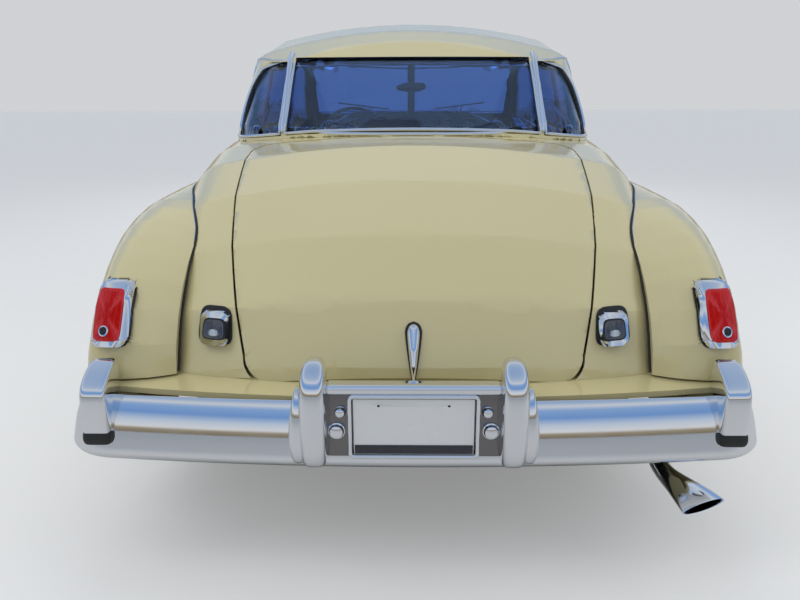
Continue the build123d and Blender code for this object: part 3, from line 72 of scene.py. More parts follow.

# %% [markdown]
# ## Working helpers
# An operator works on everything that is selected, so each step starts from an empty selection. The
# same few moves come back for every piece, so they are written once here and called by name.
# A finished piece keeps its place in its mesh, rides on a body and takes the material that it is given.

# %% Helpers for selecting, placing and finishing a piece
SIDES = (("left", 1), ("right", -1))
FORWARD, REARWARD, DOWN = (0, -1, 0), (0, 1, 0), (0, 0, -1)


def new_object(name, data):
    """Puts new data into the scene as an object."""
    obj = bpy.data.objects.new(name, data)
    bpy.context.scene.collection.objects.link(obj)
    return obj


def pick(obj=None):
    """Selects this object alone and makes it active, or selects nothing."""
    if bpy.context.object and bpy.context.object.mode != "OBJECT":
        bpy.ops.object.mode_set(mode="OBJECT")
    bpy.ops.object.select_all(action="DESELECT")
    if obj:
        obj.select_set(True)
        bpy.context.view_layer.objects.active = obj


def settle(obj):
    """Puts the object's place, turn and size into its mesh."""
    pick(obj)
    bpy.ops.object.transform_apply(location=True, rotation=True, scale=True)


def modify(obj, kind, **settings):
    """Adds one modifier, sets it up and applies it."""
    pick(obj)
    modifier = obj.modifiers.new(kind.lower(), kind)
    for key, value in settings.items():
        setattr(modifier, key, value)
    bpy.ops.object.modifier_apply(modifier=modifier.name)


def smooth(obj, degrees=35):
    """Rounds the shading, and keeps edges sharper than the given angle."""
    pick(obj)
    bpy.ops.object.shade_smooth_by_angle(angle=math.radians(degrees))
    return obj


def outward(obj):
    """Merges doubled points and turns every face outwards."""
    pick(obj)
    bpy.ops.object.mode_set(mode="EDIT")
    bpy.ops.mesh.select_all(action="SELECT")
    bpy.ops.mesh.remove_doubles(threshold=0.00001)
    bpy.ops.mesh.normals_make_consistent(inside=False)
    bpy.ops.object.mode_set(mode="OBJECT")
    return obj


def paint(obj, material):
    """Gives the whole piece one material."""
    obj.data.materials.clear()
    obj.data.materials.append(material)


def fit(obj, body, slot, material, *nodes):
    """Hands a finished piece over: its material, its body and the solids that it stands for; its slot is not
    used.
    """
    settle(obj)
    paint(obj, material)
    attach(obj, body)
    if nodes:
        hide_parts(*nodes)


body_of = {node: body for body, nodes in frame["record"]["behaviour"]["bodies"].items() for node in nodes}
slot_of = {part["node"]: part["material_slot"] for part in frame["record"]["subparts"]}
print("bodies:", len(set(body_of.values())), "slots:", len(set(slot_of.values())))


# %% Copies of the solids
def node_copy(node, name):
    """A copy of a solid with its loose triangles joined into one skin."""
    copy = new_object(name, frame["nodes"][node].data.copy())
    pick(copy)
    bpy.ops.object.mode_set(mode="EDIT")
    bpy.ops.mesh.select_all(action="SELECT")
    bpy.ops.mesh.remove_doubles(threshold=0.00005)
    bpy.ops.object.mode_set(mode="OBJECT")
    return copy


def trim(obj, keep):
    """Deletes the corners of a mesh for which keep(place) is false."""
    shape = bmesh.new()
    shape.from_mesh(obj.data)
    bmesh.ops.delete(shape, geom=[v for v in shape.verts if not keep(v.co)], context="VERTS")
    shape.to_mesh(obj.data)
    shape.free()


def reshape(obj, move):
    """Moves every point of a mesh to move(place)."""
    for vertex in obj.data.vertices:
        vertex.co = move(vertex.co.copy())
    obj.data.update()


def cut(shape, axis, places):
    """Cuts a mesh by planes square to one axis."""
    way = Vector([float(i == axis) for i in range(3)])
    for place in places:
        bmesh.ops.bisect_plane(shape, geom=shape.verts[:] + shape.edges[:] + shape.faces[:],
                               plane_co=way * place, plane_no=way)


print("solids to copy from:", len(frame["nodes"]))

# %% [markdown]
# ## Shapes that the trim starts from
# Bright parts on a car are mostly three shapes: a bar with rounded edges, a ring turned on a lathe, and
# a bead bent along a line. Each helper starts from an operator or a line and rounds it.


# %% Bars, turned pieces, beads and skins through rings
def grid(name, columns, rows):
    """A flat grid from -1 to 1 both ways, whose points are then moved into shape."""
    pick()
    bpy.ops.mesh.primitive_grid_add(x_subdivisions=columns, y_subdivisions=rows, size=2)
    obj = bpy.context.object
    obj.name = name
    return obj


def bar(name, low, high, edge=0.004, rounds=3):
    """A bar from corner to corner with rounded edges."""
    pick()
    bpy.ops.mesh.primitive_cube_add(size=1, location=[(a + b) / 2 for a, b in zip(low, high)])
    obj = bpy.context.object
    obj.name = name
    obj.scale = [b - a for a, b in zip(low, high)]
    settle(obj)
    modify(obj, "BEVEL", width=edge, segments=rounds)
    return smooth(obj, 40)


def turned(name, profile, centre, axis, count=48):
    """Spins a row of (along, radius) points round an axis through centre."""
    mesh = bpy.data.meshes.new(name)
    pairs = [(i, i + 1) for i in range(len(profile) - 1)]
    mesh.from_pydata([(radius, 0, along) for along, radius in profile], pairs, [])
    obj = new_object(name, mesh)
    modify(obj, "SCREW", axis="Z", steps=count, render_steps=count, use_merge_vertices=True)
    obj.rotation_euler = Vector(axis).to_track_quat("Z", "Y").to_euler()
    obj.location = centre
    settle(obj)
    return smooth(outward(obj), 35)


def bead(name, points, radius, closed=False, rounds=3):
    """A round bead along a row of points."""
    line = bpy.data.curves.new(name, "CURVE")
    line.dimensions, line.use_fill_caps = "3D", True
    line.bevel_depth, line.bevel_resolution = radius, rounds
    spline = line.splines.new("POLY")
    spline.points.add(len(points) - 1)
    for point, place in zip(spline.points, points):
        point.co = (*place, 1)
    spline.use_cyclic_u = closed
    pick(new_object(name, line))
    bpy.ops.object.convert(target="MESH")
    return smooth(outward(bpy.context.object), 50)


def bridged(name, rings, capped):
    """A skin through rings of points, one after another; capped closes its two ends."""
    count, places = len(rings[0]), [place for ring in rings for place in ring]
    faces = []
    for row in range(len(rings) - 1):
        for i in range(count):
            a, b = row * count + i, row * count + (i + 1) % count
            faces.append((a, b, b + count, a + count))
    if capped:
        faces += [tuple(range(count)), tuple(len(places) - 1 - i for i in range(count))]
    mesh = bpy.data.meshes.new(name)
    mesh.from_pydata(places, [], faces)
    return new_object(name, mesh)


# %% Landing lines on a surface
def surface(*nodes):
    """A search tree over the faces of some solids, to lay trim on them."""
    places, faces = [], []
    for node in nodes:
        mesh, start = frame["nodes"][node].data, len(places)
        places.extend(v.co.copy() for v in mesh.vertices)
        faces.extend([start + i for i in face.vertices] for face in mesh.polygons)
    return BVHTree.FromPolygons(places, faces)


def land(tree, start, way, lift=0.0):
    """Where a straight line from start meets a surface, lifted off it; None where it misses."""
    place, normal, _, _ = tree.ray_cast(Vector(start), Vector(way).normalized())
    return place + normal * lift if place else None


def run(tree, starts, way, lift=0.0):
    """The landing places of a row of lines, without the misses."""
    return [place for place in (land(tree, start, way, lift) for start in starts) if place]


def steps(first, last, count):
    """Evenly spaced numbers, both ends included."""
    return [first + (last - first) * i / (count - 1) for i in range(count)]


print("helpers ready")

# %% [markdown]
# ## Finishes
# Paint, chrome, glass, rubber, hide and iron each get their own material. What several of them share,
# such as fine dust and a pebbled grain, is a node group with named inputs that is built once.

# %% Node groups shared by the finishes
FLOAT, COLOUR = "NodeSocketFloat", "NodeSocketColor"


def new_group(name, inputs, outputs):
    """An empty node group with named inputs and outputs."""
    group = bpy.data.node_groups.new(name, "ShaderNodeTree")
    for label, kind, value in inputs:
        socket = group.interface.new_socket(name=label, in_out="INPUT", socket_type=kind)
        socket.default_value = value
    for label, kind in outputs:
        group.interface.new_socket(name=label, in_out="OUTPUT", socket_type=kind)
    return group, group.nodes.new("NodeGroupInput"), group.nodes.new("NodeGroupOutput")


def add(tree, kind, **values):
    """Adds a node to a tree; a value goes to the node's property, or else to its input of that name."""
    node = tree.nodes.new(kind)
    for key, value in values.items():
        label = key.replace("_", " ")
        if hasattr(node, key):
            setattr(node, key, value)
        else:
            next(s for s in node.inputs if s.name.lower() == label.lower()).default_value = value
    return node


def join(tree, *wires):
    """Links nodes; a wire names a node and its output, then a node and its input."""
    for start, output, end, socket in wires:
        tree.links.new(start.outputs[output], end.inputs[socket])


def dust_film():
    """A colour under patchy dust that thickens towards the floor."""
    film, given, made = new_group(
        "dust_film",
        [("Colour", COLOUR, (1, 1, 1, 1)), ("Dust", COLOUR, (0.36, 0.32, 0.26, 1)), ("Amount", FLOAT, 0.3),
         ("Height", FLOAT, 0.5)],
        [("Colour", COLOUR), ("Mask", FLOAT)])
    place = add(film, "ShaderNodeTexCoord")
    axes = add(film, "ShaderNodeSeparateXYZ")
    low_down = add(film, "ShaderNodeMapRange", From_Min=0.1, To_Min=1.0, To_Max=0.0)
    noise = add(film, "ShaderNodeTexNoise", Scale=38.0, Detail=8.0, Roughness=0.7)
    patches = add(film, "ShaderNodeMapRange", From_Min=0.25, From_Max=0.8, To_Min=0.5, To_Max=1.0)
    mask = add(film, "ShaderNodeMath", operation="MULTIPLY")
    amount = add(film, "ShaderNodeMath", operation="MULTIPLY")
    mix = add(film, "ShaderNodeMix", data_type="RGBA")
    join(film, (place, "Object", axes, 0), (axes, "Z", low_down, "Value"),
         (given, "Height", low_down, "From Max"), (place, "Object", noise, "Vector"),
         (noise, "Fac", patches, "Value"), (low_down, 0, mask, 0), (patches, 0, mask, 1),
         (mask, 0, amount, 0), (given, "Amount", amount, 1), (amount, 0, mix, "Factor"),
         (given, "Colour", mix, 6), (given, "Dust", mix, 7), (mix, 2, made, "Colour"),
         (amount, 0, made, "Mask"))
    return film


def fine_grain():
    """A fine relief, and a value that wanders slowly between Low and High."""
    grain, given, made = new_group(
        "fine_grain", [("Scale", FLOAT, 400.0), ("Low", FLOAT, 0.3), ("High", FLOAT, 0.5)],
        [("Value", FLOAT), ("Height", FLOAT)])
    place = add(grain, "ShaderNodeTexCoord")
    noise = add(grain, "ShaderNodeTexNoise", Detail=4.0, Roughness=0.6)
    wide = add(grain, "ShaderNodeTexNoise", Scale=9.0, Detail=3.0)
    spread = add(grain, "ShaderNodeMapRange", From_Min=0.3, From_Max=0.7)
    join(grain, (place, "Object", noise, "Vector"), (place, "Object", wide, "Vector"),
         (given, "Scale", noise, "Scale"), (wide, "Fac", spread, "Value"), (given, "Low", spread, "To Min"),
         (given, "High", spread, "To Max"), (spread, 0, made, "Value"), (noise, "Fac", made, "Height"))
    return grain


film, grain = dust_film(), fine_grain()
print("groups:", [g.name for g in bpy.data.node_groups])


# %% A maker of finishes
def finish(name, colour, rough=(0.3, 0.4), bump=0.0, scale=400.0, dust=0.0, dust_top=0.6, ribs=0.0,
           **sockets):
    """A material with fine grain in its gloss and relief, moulded ribs, and dust towards the floor."""
    material = bpy.data.materials.new(name)
    material.use_nodes = True
    tree = material.node_tree
    shader = tree.nodes["Principled BSDF"]
    fine = add(tree, "ShaderNodeGroup", node_tree=grain, Scale=scale, Low=rough[0], High=rough[1])
    join(tree, (fine, "Value", shader, "Roughness"))
    shader.inputs["Base Color"].default_value = (*colour, 1)
    if dust:
        dusty = add(tree, "ShaderNodeGroup", node_tree=film, Colour=(*colour, 1), Amount=dust,
                    Height=dust_top)
        join(tree, (dusty, "Colour", shader, "Base Color"))
    if bump or ribs:
        relief = add(tree, "ShaderNodeBump", Strength=bump or 0.6, Distance=0.001)
        if ribs:
            place = add(tree, "ShaderNodeTexCoord")
            waves = add(tree, "ShaderNodeTexWave", Scale=ribs)
            join(tree, (place, "Object", waves, "Vector"), (waves, "Fac", relief, "Height"))
        else:
            join(tree, (fine, "Height", relief, "Height"))
        join(tree, (relief, 0, shader, "Normal"))
    for label, value in sockets.items():
        shader.inputs[label.replace("_", " ")].default_value = value
    return material


def glass_finish(name, colour):
    """Clear safety glass: light goes through and takes the tint."""
    material = bpy.data.materials.new(name)
    material.use_nodes = True
    shader = material.node_tree.nodes["Principled BSDF"]
    for label, value in (("Base Color", (*colour, 1)), ("Roughness", 0.0), ("Transmission Weight", 1.0),
                         ("IOR", 1.45)):
        shader.inputs[label].default_value = value
    return material


# %% The finishes of this car
cream = finish("cream_enamel", (0.560, 0.500, 0.275), (0.16, 0.24), 0.012, 900, 0.22, 0.5, Coat_Weight=0.6,
               Coat_Roughness=0.07)
chrome = finish("chrome_plate", (0.80, 0.81, 0.83), (0.04, 0.09), 0.01, 300, Metallic=1.0)
# Darkened plating: painted shade and a painted dark reflection for the plate recess.
recess_shade_plating = finish("painted_shade_plate", (0.20, 0.19, 0.19), (0.12, 0.22), 0.02, 300, Metallic=1.0)
rubber = finish("black_rubber", (0.018, 0.018, 0.018), (0.55, 0.75), 0.25, 700, 0.3, 0.5)
seal = finish("seal_rubber", (0.012, 0.012, 0.012), (0.45, 0.6), 0.2, 900)
black_enamel = finish("chassis_enamel", (0.022, 0.021, 0.020), (0.35, 0.6), 0.15, 200, 0.6, 0.5)
forged = finish("painted_forging", (0.045, 0.043, 0.042), (0.4, 0.7), 0.4, 160, 0.5, 0.6, Metallic=0.3)
engine_paint = finish("engine_paint", (0.10, 0.13, 0.12), (0.35, 0.55), 0.35, 180, 0.3, 0.7)
pipe_steel = finish("pipe_steel", (0.26, 0.24, 0.22), (0.25, 0.5), 0.2, 260, 0.3, 0.5, Metallic=0.9)
white_enamel = finish("plate_enamel", (0.74, 0.75, 0.76), (0.25, 0.35), 0.03, 500, Coat_Weight=0.5)
dark_enamel = finish("plate_band", (0.012, 0.014, 0.025), (0.2, 0.3), 0.03, 500, Coat_Weight=0.4)
blue_plastic = finish("wheel_plastic", (0.035, 0.045, 0.085), (0.18, 0.3), 0.04, 300, Coat_Weight=0.4)
dash_enamel = finish("dash_enamel", (0.05, 0.07, 0.14), (0.3, 0.4), 0.05, 400, Coat_Weight=0.4)
hide = finish("blue_hide", (0.024, 0.042, 0.095), (0.38, 0.52), 0.5, 520)
headlining = finish("blue_headlining", (0.035, 0.045, 0.075), (0.8, 0.95), 0.4, 1400)
carpet = finish("dark_carpet", (0.02, 0.022, 0.03), (0.9, 1.0), 0.9, 1800)
red_lens = finish("red_lens", (0.43, 0.004, 0.003), (0.12, 0.18), Coat_Weight=0.5,
                  Emission_Color=(0.5, 0.01, 0.005, 1), Emission_Strength=0.15)
grey_lens = finish("ribbed_lens", (0.10, 0.10, 0.11), (0.10, 0.18), ribs=75.0, Coat_Weight=1.0, Metallic=0.6)
clear_lens = finish("clear_lens", (0.70, 0.73, 0.74), (0.06, 0.12), ribs=42.0, Coat_Weight=1.0, Metallic=0.5)
amber_lens = finish("amber_lens", (0.60, 0.52, 0.38), (0.08, 0.14), ribs=60.0, Coat_Weight=1.0, Metallic=0.3)
mirror_glass = finish("mirror_glass", (0.9, 0.92, 0.95), (0.01, 0.03), Metallic=1.0)
tinted = glass_finish("tinted_glass", (0.20, 0.34, 0.66))


def bright(obj, body="car", *nodes):
    """Hands over a chrome-plated piece."""
    fit(obj, body, "bright_metal", chrome, *nodes)


def black(obj, body="car"):
    """Hands over a piece of black sealing rubber."""
    fit(obj, body, "tyre", seal)


print("finishes:", len(bpy.data.materials))

# %% [markdown]
# ## The panels
# The solids' triangles are loose, so a curved panel would show its facets in gloss paint. Each painted
# panel is therefore a joined copy of its solid with rounded shading, and stands for it. The large panels
# are also eased between their edges, as a panel beater planishes a dent, so reflections run smoothly.

# %% Easing a panel
DRESS = {
    "body_paint": cream, "bright_metal": chrome, "pipe_steel": pipe_steel, "plate": white_enamel,
    "tinted_glass": tinted, "dash_paint": dash_enamel, "floor_paint": carpet, "frame_paint": black_enamel,
    "engine_iron": engine_paint, "axle_iron": forged, "wheel_paint": cream,
}
PANELS = {"boot_lid", "rear_body", "rear_wing_left", "rear_wing_right", "roof", "bonnet", "door_left",
          "door_right", "front_wing_left", "front_wing_right", "cowl", "nose_panel"}
HAND_MADE = {"rear_bumper", "front_bumper", "rear_lamps", "front_lamps"}
TIP_START = 2.375
SHOULDER_Y, SHOULDER_Z, SWELL, WING_REACH = 1.88, 0.82, 0.020, 0.957


def planish(obj, pitch=0.045, passes=30, crease=28, border=0.07):
    """Eases the flat bands of a panel, and keeps its edges and its size."""
    shape = bmesh.new()
    shape.from_mesh(obj.data)
    for axis in range(3):
        spread = [v.co[axis] for v in shape.verts]
        low, high = min(spread), max(spread)
        cut(shape, axis, [low + i * pitch for i in range(1, int((high - low) / pitch) + 1)])
    shape.verts.index_update()
    held = {v.index for e in shape.edges
            if len(e.link_faces) != 2 or e.calc_face_angle(4) > math.radians(crease) for v in e.verts}
    ties = np.array([[v.index for v in e.verts] for e in shape.edges])
    places = np.array([v.co[:] for v in shape.verts])
    free = np.array([v.index not in held for v in shape.verts])
    shape.to_mesh(obj.data)
    shape.free()
    pull = 1 / np.maximum(np.linalg.norm(places[ties[:, 0]] - places[ties[:, 1]], axis=1), 0.002)
    count = np.bincount(ties.ravel(), np.repeat(pull, 2), len(places))[:, None]
    for weight in (0.5, -0.51) * passes:
        total = np.zeros_like(places)
        np.add.at(total, ties[:, 0], places[ties[:, 1]] * pull[:, None])
        np.add.at(total, ties[:, 1], places[ties[:, 0]] * pull[:, None])
        places[free] += weight * (total / count - places)[free]
    rim = KDTree(len(held))
    for index in held:
        rim.insert(obj.data.vertices[index].co, index)
    rim.balance()
    for vertex, place in zip(obj.data.vertices, places):
        if vertex.index not in held:
            share = min(1, rim.find(vertex.co)[2] / border) ** 2
            vertex.co = vertex.co.lerp(Vector(place), share)
    obj.data.update()
    modify(obj, "WEIGHTED_NORMAL", keep_sharp=True)


def full_shoulder(place):
    """The rear wing's shoulder stands a little fuller than the flat bands of the solid."""
    swell = SWELL * math.exp(-((place.z - SHOULDER_Z) / 0.11) ** 2 - ((place.y - SHOULDER_Y) / 0.24) ** 2)
    if place.z < 0.5 or abs(place.x) < 0.8:
        swell = 0
    x = max(abs(place.x), min(WING_REACH, abs(place.x) + swell))
    return Vector((math.copysign(x, place.x), place.y, place.z))


# %% Painted and plated panels
dressed = [node for node in frame["nodes"] if slot_of[node] in DRESS and node not in HAND_MADE]
for node in dressed:
    skin = node_copy(node, "skin_" + node)
    if node == "exhaust":
        trim(skin, lambda place: place.y < TIP_START)
    smooth(skin, 28 if node in PANELS else 32)
    if node in PANELS:
        planish(skin)
    if node.startswith("rear_wing"):
        reshape(skin, full_shoulder)
    fit(skin, body_of[node], slot_of[node], DRESS[slot_of[node]], node)
print("panels dressed:", len(dressed))
print("still to make:", sorted({slot_of[n] for n in frame["nodes"] if n not in dressed}))

# %% [markdown]
# ## Lamps at the tail
# A tail lamp is a chrome housing with a red ribbed lens let into its outer part and a small round
# reflector low down. The housing is the solid itself. Lens and gasket are small skins: a grid is given
# rounded corners, each of its points is cast onto the surface below, and the skin gets a thickness.


# %% A skin laid on a surface
def skin_on(name, tree, middle, way, half, lift=0.002, crown=0.0, square=6.0, cuts=24, ribs=0, taper=0.0):
    """A rounded skin that follows the surface met along way, crowned and ribbed, with a thickness."""
    obj = grid(name, cuts * (2 if ribs else 1), cuts)
    way = Vector(way).normalized()
    across = way.cross(Vector((0, 0, 1))).normalized()
    up = across.cross(way)

    def lay(point):
        u, v = point.x, point.y
        far = max(abs(u), abs(v))
        if far:
            shrink = far / (abs(u) ** square + abs(v) ** square) ** (1 / square)
            u, v = u * shrink, v * shrink
        start = Vector(middle) - way + across * u * half[0] * (1 - taper * v) + up * v * half[1]
        hit, normal, _, _ = tree.ray_cast(start, way)
        if hit is None:
            hit, normal = start + way, -way
        wave = 0.0011 * math.cos(2 * math.pi * ribs * u) if ribs and far < 0.96 else 0
        return hit + normal * (lift + crown * (1 - far ** 3) + wave)

    reshape(obj, lay)
    modify(obj, "SOLIDIFY", thickness=0.003, offset=-1)
    return smooth(outward(obj), 40)


# %% Housings, lenses, gaskets and reflectors
LAMP_SPLIT, BEHIND = 0.7, 2.4
wing_skins = {side: surface("rear_wing_" + side) for side, _ in SIDES}
tail_skin, body_skin = surface("rear_lamps"), surface("rear_body")
lamp_places = [v.co for v in frame["nodes"]["rear_lamps"].data.vertices]


def rear_lamp(kind, side, flip):
    """Makes the housing of a tail or reverse lamp; gives its middle, half width, half height and foot."""
    def mine(p):
        return p.x * flip > 0 and (abs(p.x) > LAMP_SPLIT) == (kind == "tail")

    housing = node_copy("rear_lamps", f"{kind}_lamp_housing_{side}")
    trim(housing, mine)
    bright(smooth(housing, 40), "car", "rear_lamps")
    (x0, x1), (z0, z1) = [(min(row), max(row)) for row in zip(*((p.x, p.z) for p in lamp_places if mine(p)))]
    return Vector(((x0 + x1) / 2, BEHIND, (z0 + z1) / 2)), (x1 - x0) / 2, (z1 - z0) / 2, z0


for side, flip in SIDES:
    middle, wide, high, foot = rear_lamp("tail", side, flip)
    outer = middle + Vector((flip * 0.10 * wide, 0, 0))
    lens = skin_on("tail_lens_" + side, tail_skin, outer, FORWARD, (wide * 0.78, high * 0.80), 0.004, 0.004,
                   7, 26, 13)
    fit(lens, "car", "red_lens", red_lens)
    black(skin_on("tail_gasket_" + side, wing_skins[side], middle - Vector((0, 0, 0.002)), FORWARD,
                  (wide + 0.002, high + 0.002), 0.0055, 0, 5.5, 30))
    spot = (outer.x + flip * 0.004, BEHIND, foot + high * 0.50)
    for name, size, lift, hand_over in (("ring", 0.0130, 0.0088, bright), ("glass", 0.0098, 0.0100, black)):
        disc = skin_on(f"reflector_{name}_{side}", tail_skin, spot, FORWARD, (size, size), lift, 0.0015, 2,
                       14)
        hand_over(disc)
    middle, wide, high, foot = rear_lamp("reverse", side, flip)
    black(skin_on("reverse_gasket_" + side, body_skin, middle + Vector((0, 0, 0.002)), FORWARD,
                  (wide * 1.17, high * 1.17), 0.004, 0.002, 4.5, 22, 0, 0.07))
    for name, share, drop, lift, crown, corner, ribs, slot, material in (
            ("well", (0.80, 0.66), 0.000, 0.0012, 0.0, 4.5, 0, "tyre", seal),
            ("lens", (0.70, 0.57), 0.001, 0.0026, 0.002, 4.5, 7, "lamp_glass", grey_lens),
            ("bulb", (0.34, 0.20), 0.010, 0.0050, 0.0012, 2.4, 4, "lamp_glass", clear_lens)):
        piece = skin_on(f"reverse_{name}_{side}", tail_skin, middle - Vector((0, 0, drop)), FORWARD,
                        (wide * share[0], high * share[1]), lift, crown, corner, 22, ribs, 0.06)
        fit(piece, "car", slot, material)
print("tail and reversing lamps made")

# %% [markdown]
# ## Boot lid handle
# The handle is a chrome teardrop on a black gasket at the foot of the lid, wide above and pointed
# below. It could be carved from a ball, but its foot would then miss the curve of the lid. Here both
# are skins laid on the lid, and their width narrows downwards.

# %% Teardrop handle and its gasket
lid_skin = surface("boot_lid")
ROUND_TOP = 0.18


def drop_skin(name, top, foot, widest, lift, crown):
    """A long skin on the lid from top to foot whose width follows a drop's outline."""
    def lay(point):
        t = (1 - point.y) / 2
        if t < ROUND_TOP:
            share = math.sqrt(1 - (1 - t / ROUND_TOP) ** 2)
        else:
            share = 1 - 0.84 * ((t - ROUND_TOP) / (1 - ROUND_TOP)) ** 1.25
        start = Vector((point.x * max(widest * share, 0.0004), 3.0, top + (foot - top) * t))
        hit, normal, _, _ = lid_skin.ray_cast(start, Vector(FORWARD))
        arch = math.sqrt(max(0, 1 - point.x ** 2)) * min(1, share * 1.3)
        return hit + normal * (lift + crown * arch)

    obj = grid(name, 16, 40)
    reshape(obj, lay)
    modify(obj, "SOLIDIFY", thickness=0.002, offset=-1)
    return smooth(outward(obj), 45)


black(drop_skin("lid_handle_gasket", 0.680, 0.532, 0.0225, 0.002, 0.003), "boot_lid")
bright(drop_skin("lid_handle", 0.674, 0.538, 0.0165, 0.003, 0.017), "boot_lid")
print("handle made")

# %% [markdown]
# ## Round the windows
# Each pane's edge is found on the joined glass: the faces that meet smoothly form its outer side, and
# the border of that side is the line of the rubber and of the bright strip laid over it.


# %% The border of each pane
def borders(obj, smallest=0.02):
    """The border of each large outer side of a joined mesh, as a closed row of (place, normal)."""
    shape = bmesh.new()
    shape.from_mesh(obj.data)
    shape.faces.index_update()
    seen, found = set(), []
    heart = Vector((0, 0.25, 0.95))
    for seed in shape.faces:
        if seed.index in seen:
            continue
        seen.add(seed.index)
        region, queue = [seed], [seed]
        while queue:
            face = queue.pop()
            for near in (f for edge in face.edges for f in edge.link_faces if f.index not in seen):
                if near.normal.angle(face.normal, 4) < math.radians(32):
                    seen.add(near.index)
                    region.append(near)
                    queue.append(near)
        area = sum(face.calc_area() for face in region)
        facing = sum(face.normal.dot(face.calc_center_median() - heart) * face.calc_area() for face in region)
        if area < smallest or facing < 0:
            continue
        inside, ring = {face.index for face in region}, {}
        for edge in shape.edges:
            if sum(face.index in inside for face in edge.link_faces) == 1:
                for a, b in (edge.verts, reversed(edge.verts)):
                    ring.setdefault(a, []).append(b)
        start = here = next(iter(ring))
        before, row = None, []
        while True:
            normal = sum((f.normal for f in here.link_faces if f.index in inside), Vector())
            row.append((here.co.copy(), normal.normalized()))
            onward = [v for v in ring[here] if v is not before]
            before, here = here, onward[0]
            if here is start or len(row) > 4000:
                break
        found.append(thin_out(row, 0.012))
    shape.free()
    return found


def thin_out(row, gap):
    """Drops points nearer than gap to the one before, but keeps the corners."""
    kept = [row[0]]
    for i in range(1, len(row)):
        place = row[i][0]
        after = row[(i + 1) % len(row)][0]
        bend = (after - place).angle(place - row[i - 1][0], 0)
        if (place - kept[-1][0]).length > gap or bend > math.radians(20):
            kept.append(row[i])
    return kept


# %% Rubber and bright strip round each pane
REAR_PANES_Y, TOP_BAND, TOP_DROP = 0.5, 0.04, 0.011
count = 0
for node in ("fixed_glass", "door_glass_left", "door_glass_right"):
    copy = node_copy(node, "outline_" + node)
    strip, stand = (0.0065, 0.0155) if node == "fixed_glass" else (0.0045, 0.0035)
    for row in borders(copy):
        count += 1
        top = max(place.z for place, _ in row)
        if min(place.y for place, _ in row) > REAR_PANES_Y:
            row = [(place - Vector((0, 0, TOP_DROP if place.z > top - TOP_BAND else 0)), normal)
                   for place, normal in row]
        for name, radius, lift, hand_over in (("seal", 0.0055, 0.002, black),
                                              ("strip", strip, stand, bright)):
            line = [place + normal * lift for place, normal in row]
            hand_over(bead(f"pane_{name}_{count}", line, radius, True, 2), body_of[node])
    bpy.data.objects.remove(copy)
print("panes edged:", count)

# %% Posts of the rear window and the centre bar of the windscreen
roof_skin = surface("roof")
for side, flip in SIDES:
    line = run(roof_skin, [(flip * (0.516 + 0.012 * t), 3.0, 1.128 + 0.31 * t) for t in steps(0, 1, 14)],
               FORWARD, 0.002)
    bright(bead("rear_window_post_" + side, line, 0.0125, rounds=4))
line = run(roof_skin, [(x, 3.0, 1.1275) for x in steps(-0.62, 0.62, 42)], FORWARD, 0.001)
bright(bead("rear_window_sill", line, 0.0070, rounds=4))
line = run(roof_skin, [(0, -3.0, z) for z in steps(1.115, 1.45, 12)], REARWARD, 0.002)
bright(bead("windscreen_bar", line, 0.011, rounds=4))
print("posts made")

# %% [markdown]
# ## Bumpers
# A bumper is one long pressed bar that bows across the car and wraps round its corners. Its section
# has a flat top, a full face and a lip below. A grid becomes the bar when its columns go along the
# bar's line in plan and its rows round the section. The overriders are rings stacked into a post.

# %% The face bars
HALF, BOW, WRAP, BAR_Y, BAR_Z, BAR_END = 0.822, 0.045, 0.085, 2.530, 0.424, 0.045
SECTION = [(0.000, 0.0880), (0.006, 0.0928), (0.014, 0.0850), (0.023, 0.0700), (0.0335, 0.0480),
           (0.0425, 0.0220), (0.0490, -0.0040), (0.0540, -0.0300), (0.0590, -0.0520), (0.0592, -0.0580),
           (0.0540, -0.0700), (0.0400, -0.0820), (0.0200, -0.0905), (0.000, -0.0925)]
bow_radius = (HALF ** 2 + BOW ** 2) / (2 * BOW)
turn = math.asin(HALF / bow_radius)
straight, bend = bow_radius * turn, WRAP * (math.radians(82) - turn)


def along_bar(s):
    """Place in plan and outward direction at a length s from the middle of the bar."""
    flip, s = (-1 if s < 0 else 1), abs(s)
    if s <= straight:
        a = s / bow_radius
        x, y = bow_radius * math.sin(a), BAR_Y - bow_radius * (1 - math.cos(a))
    else:
        a = turn + (s - straight) / WRAP
        x = HALF - WRAP * math.sin(turn) + WRAP * math.sin(a)
        y = BAR_Y - BOW - WRAP * math.cos(turn) + WRAP * math.cos(a)
    return Vector((flip * x, y, 0)), Vector((flip * math.sin(a), math.cos(a), 0))


def face_bar(name, way):
    """One bumper bar, with its ends rounded off, at the rear (way 1) or the front (way -1)."""
    rows, whole = len(SECTION) - 1, straight + bend

    def lay(point):
        place, out = along_bar(point.x * whole)
        depth, height = SECTION[round((point.y + 1) / 2 * rows)]
        left = (1 - abs(point.x)) * whole
        close = math.sqrt(max(0.0, 1 - (1 - min(left, BAR_END) / BAR_END) ** 2))
        place = place + out * depth * (0.60 + 0.40 * close)
        place = place + Vector((0, 0, BAR_Z + height * (0.40 + 0.60 * close)))
        return Vector((place.x, way * place.y, place.z))

    obj = grid(name, 150, rows)
    reshape(obj, lay)
    outward(obj)
    modify(obj, "SOLIDIFY", thickness=0.004, offset=-1 if way > 0 else 1)
    modify(obj, "SUBSURF", levels=1, render_levels=1)
    return smooth(outward(obj), 45)


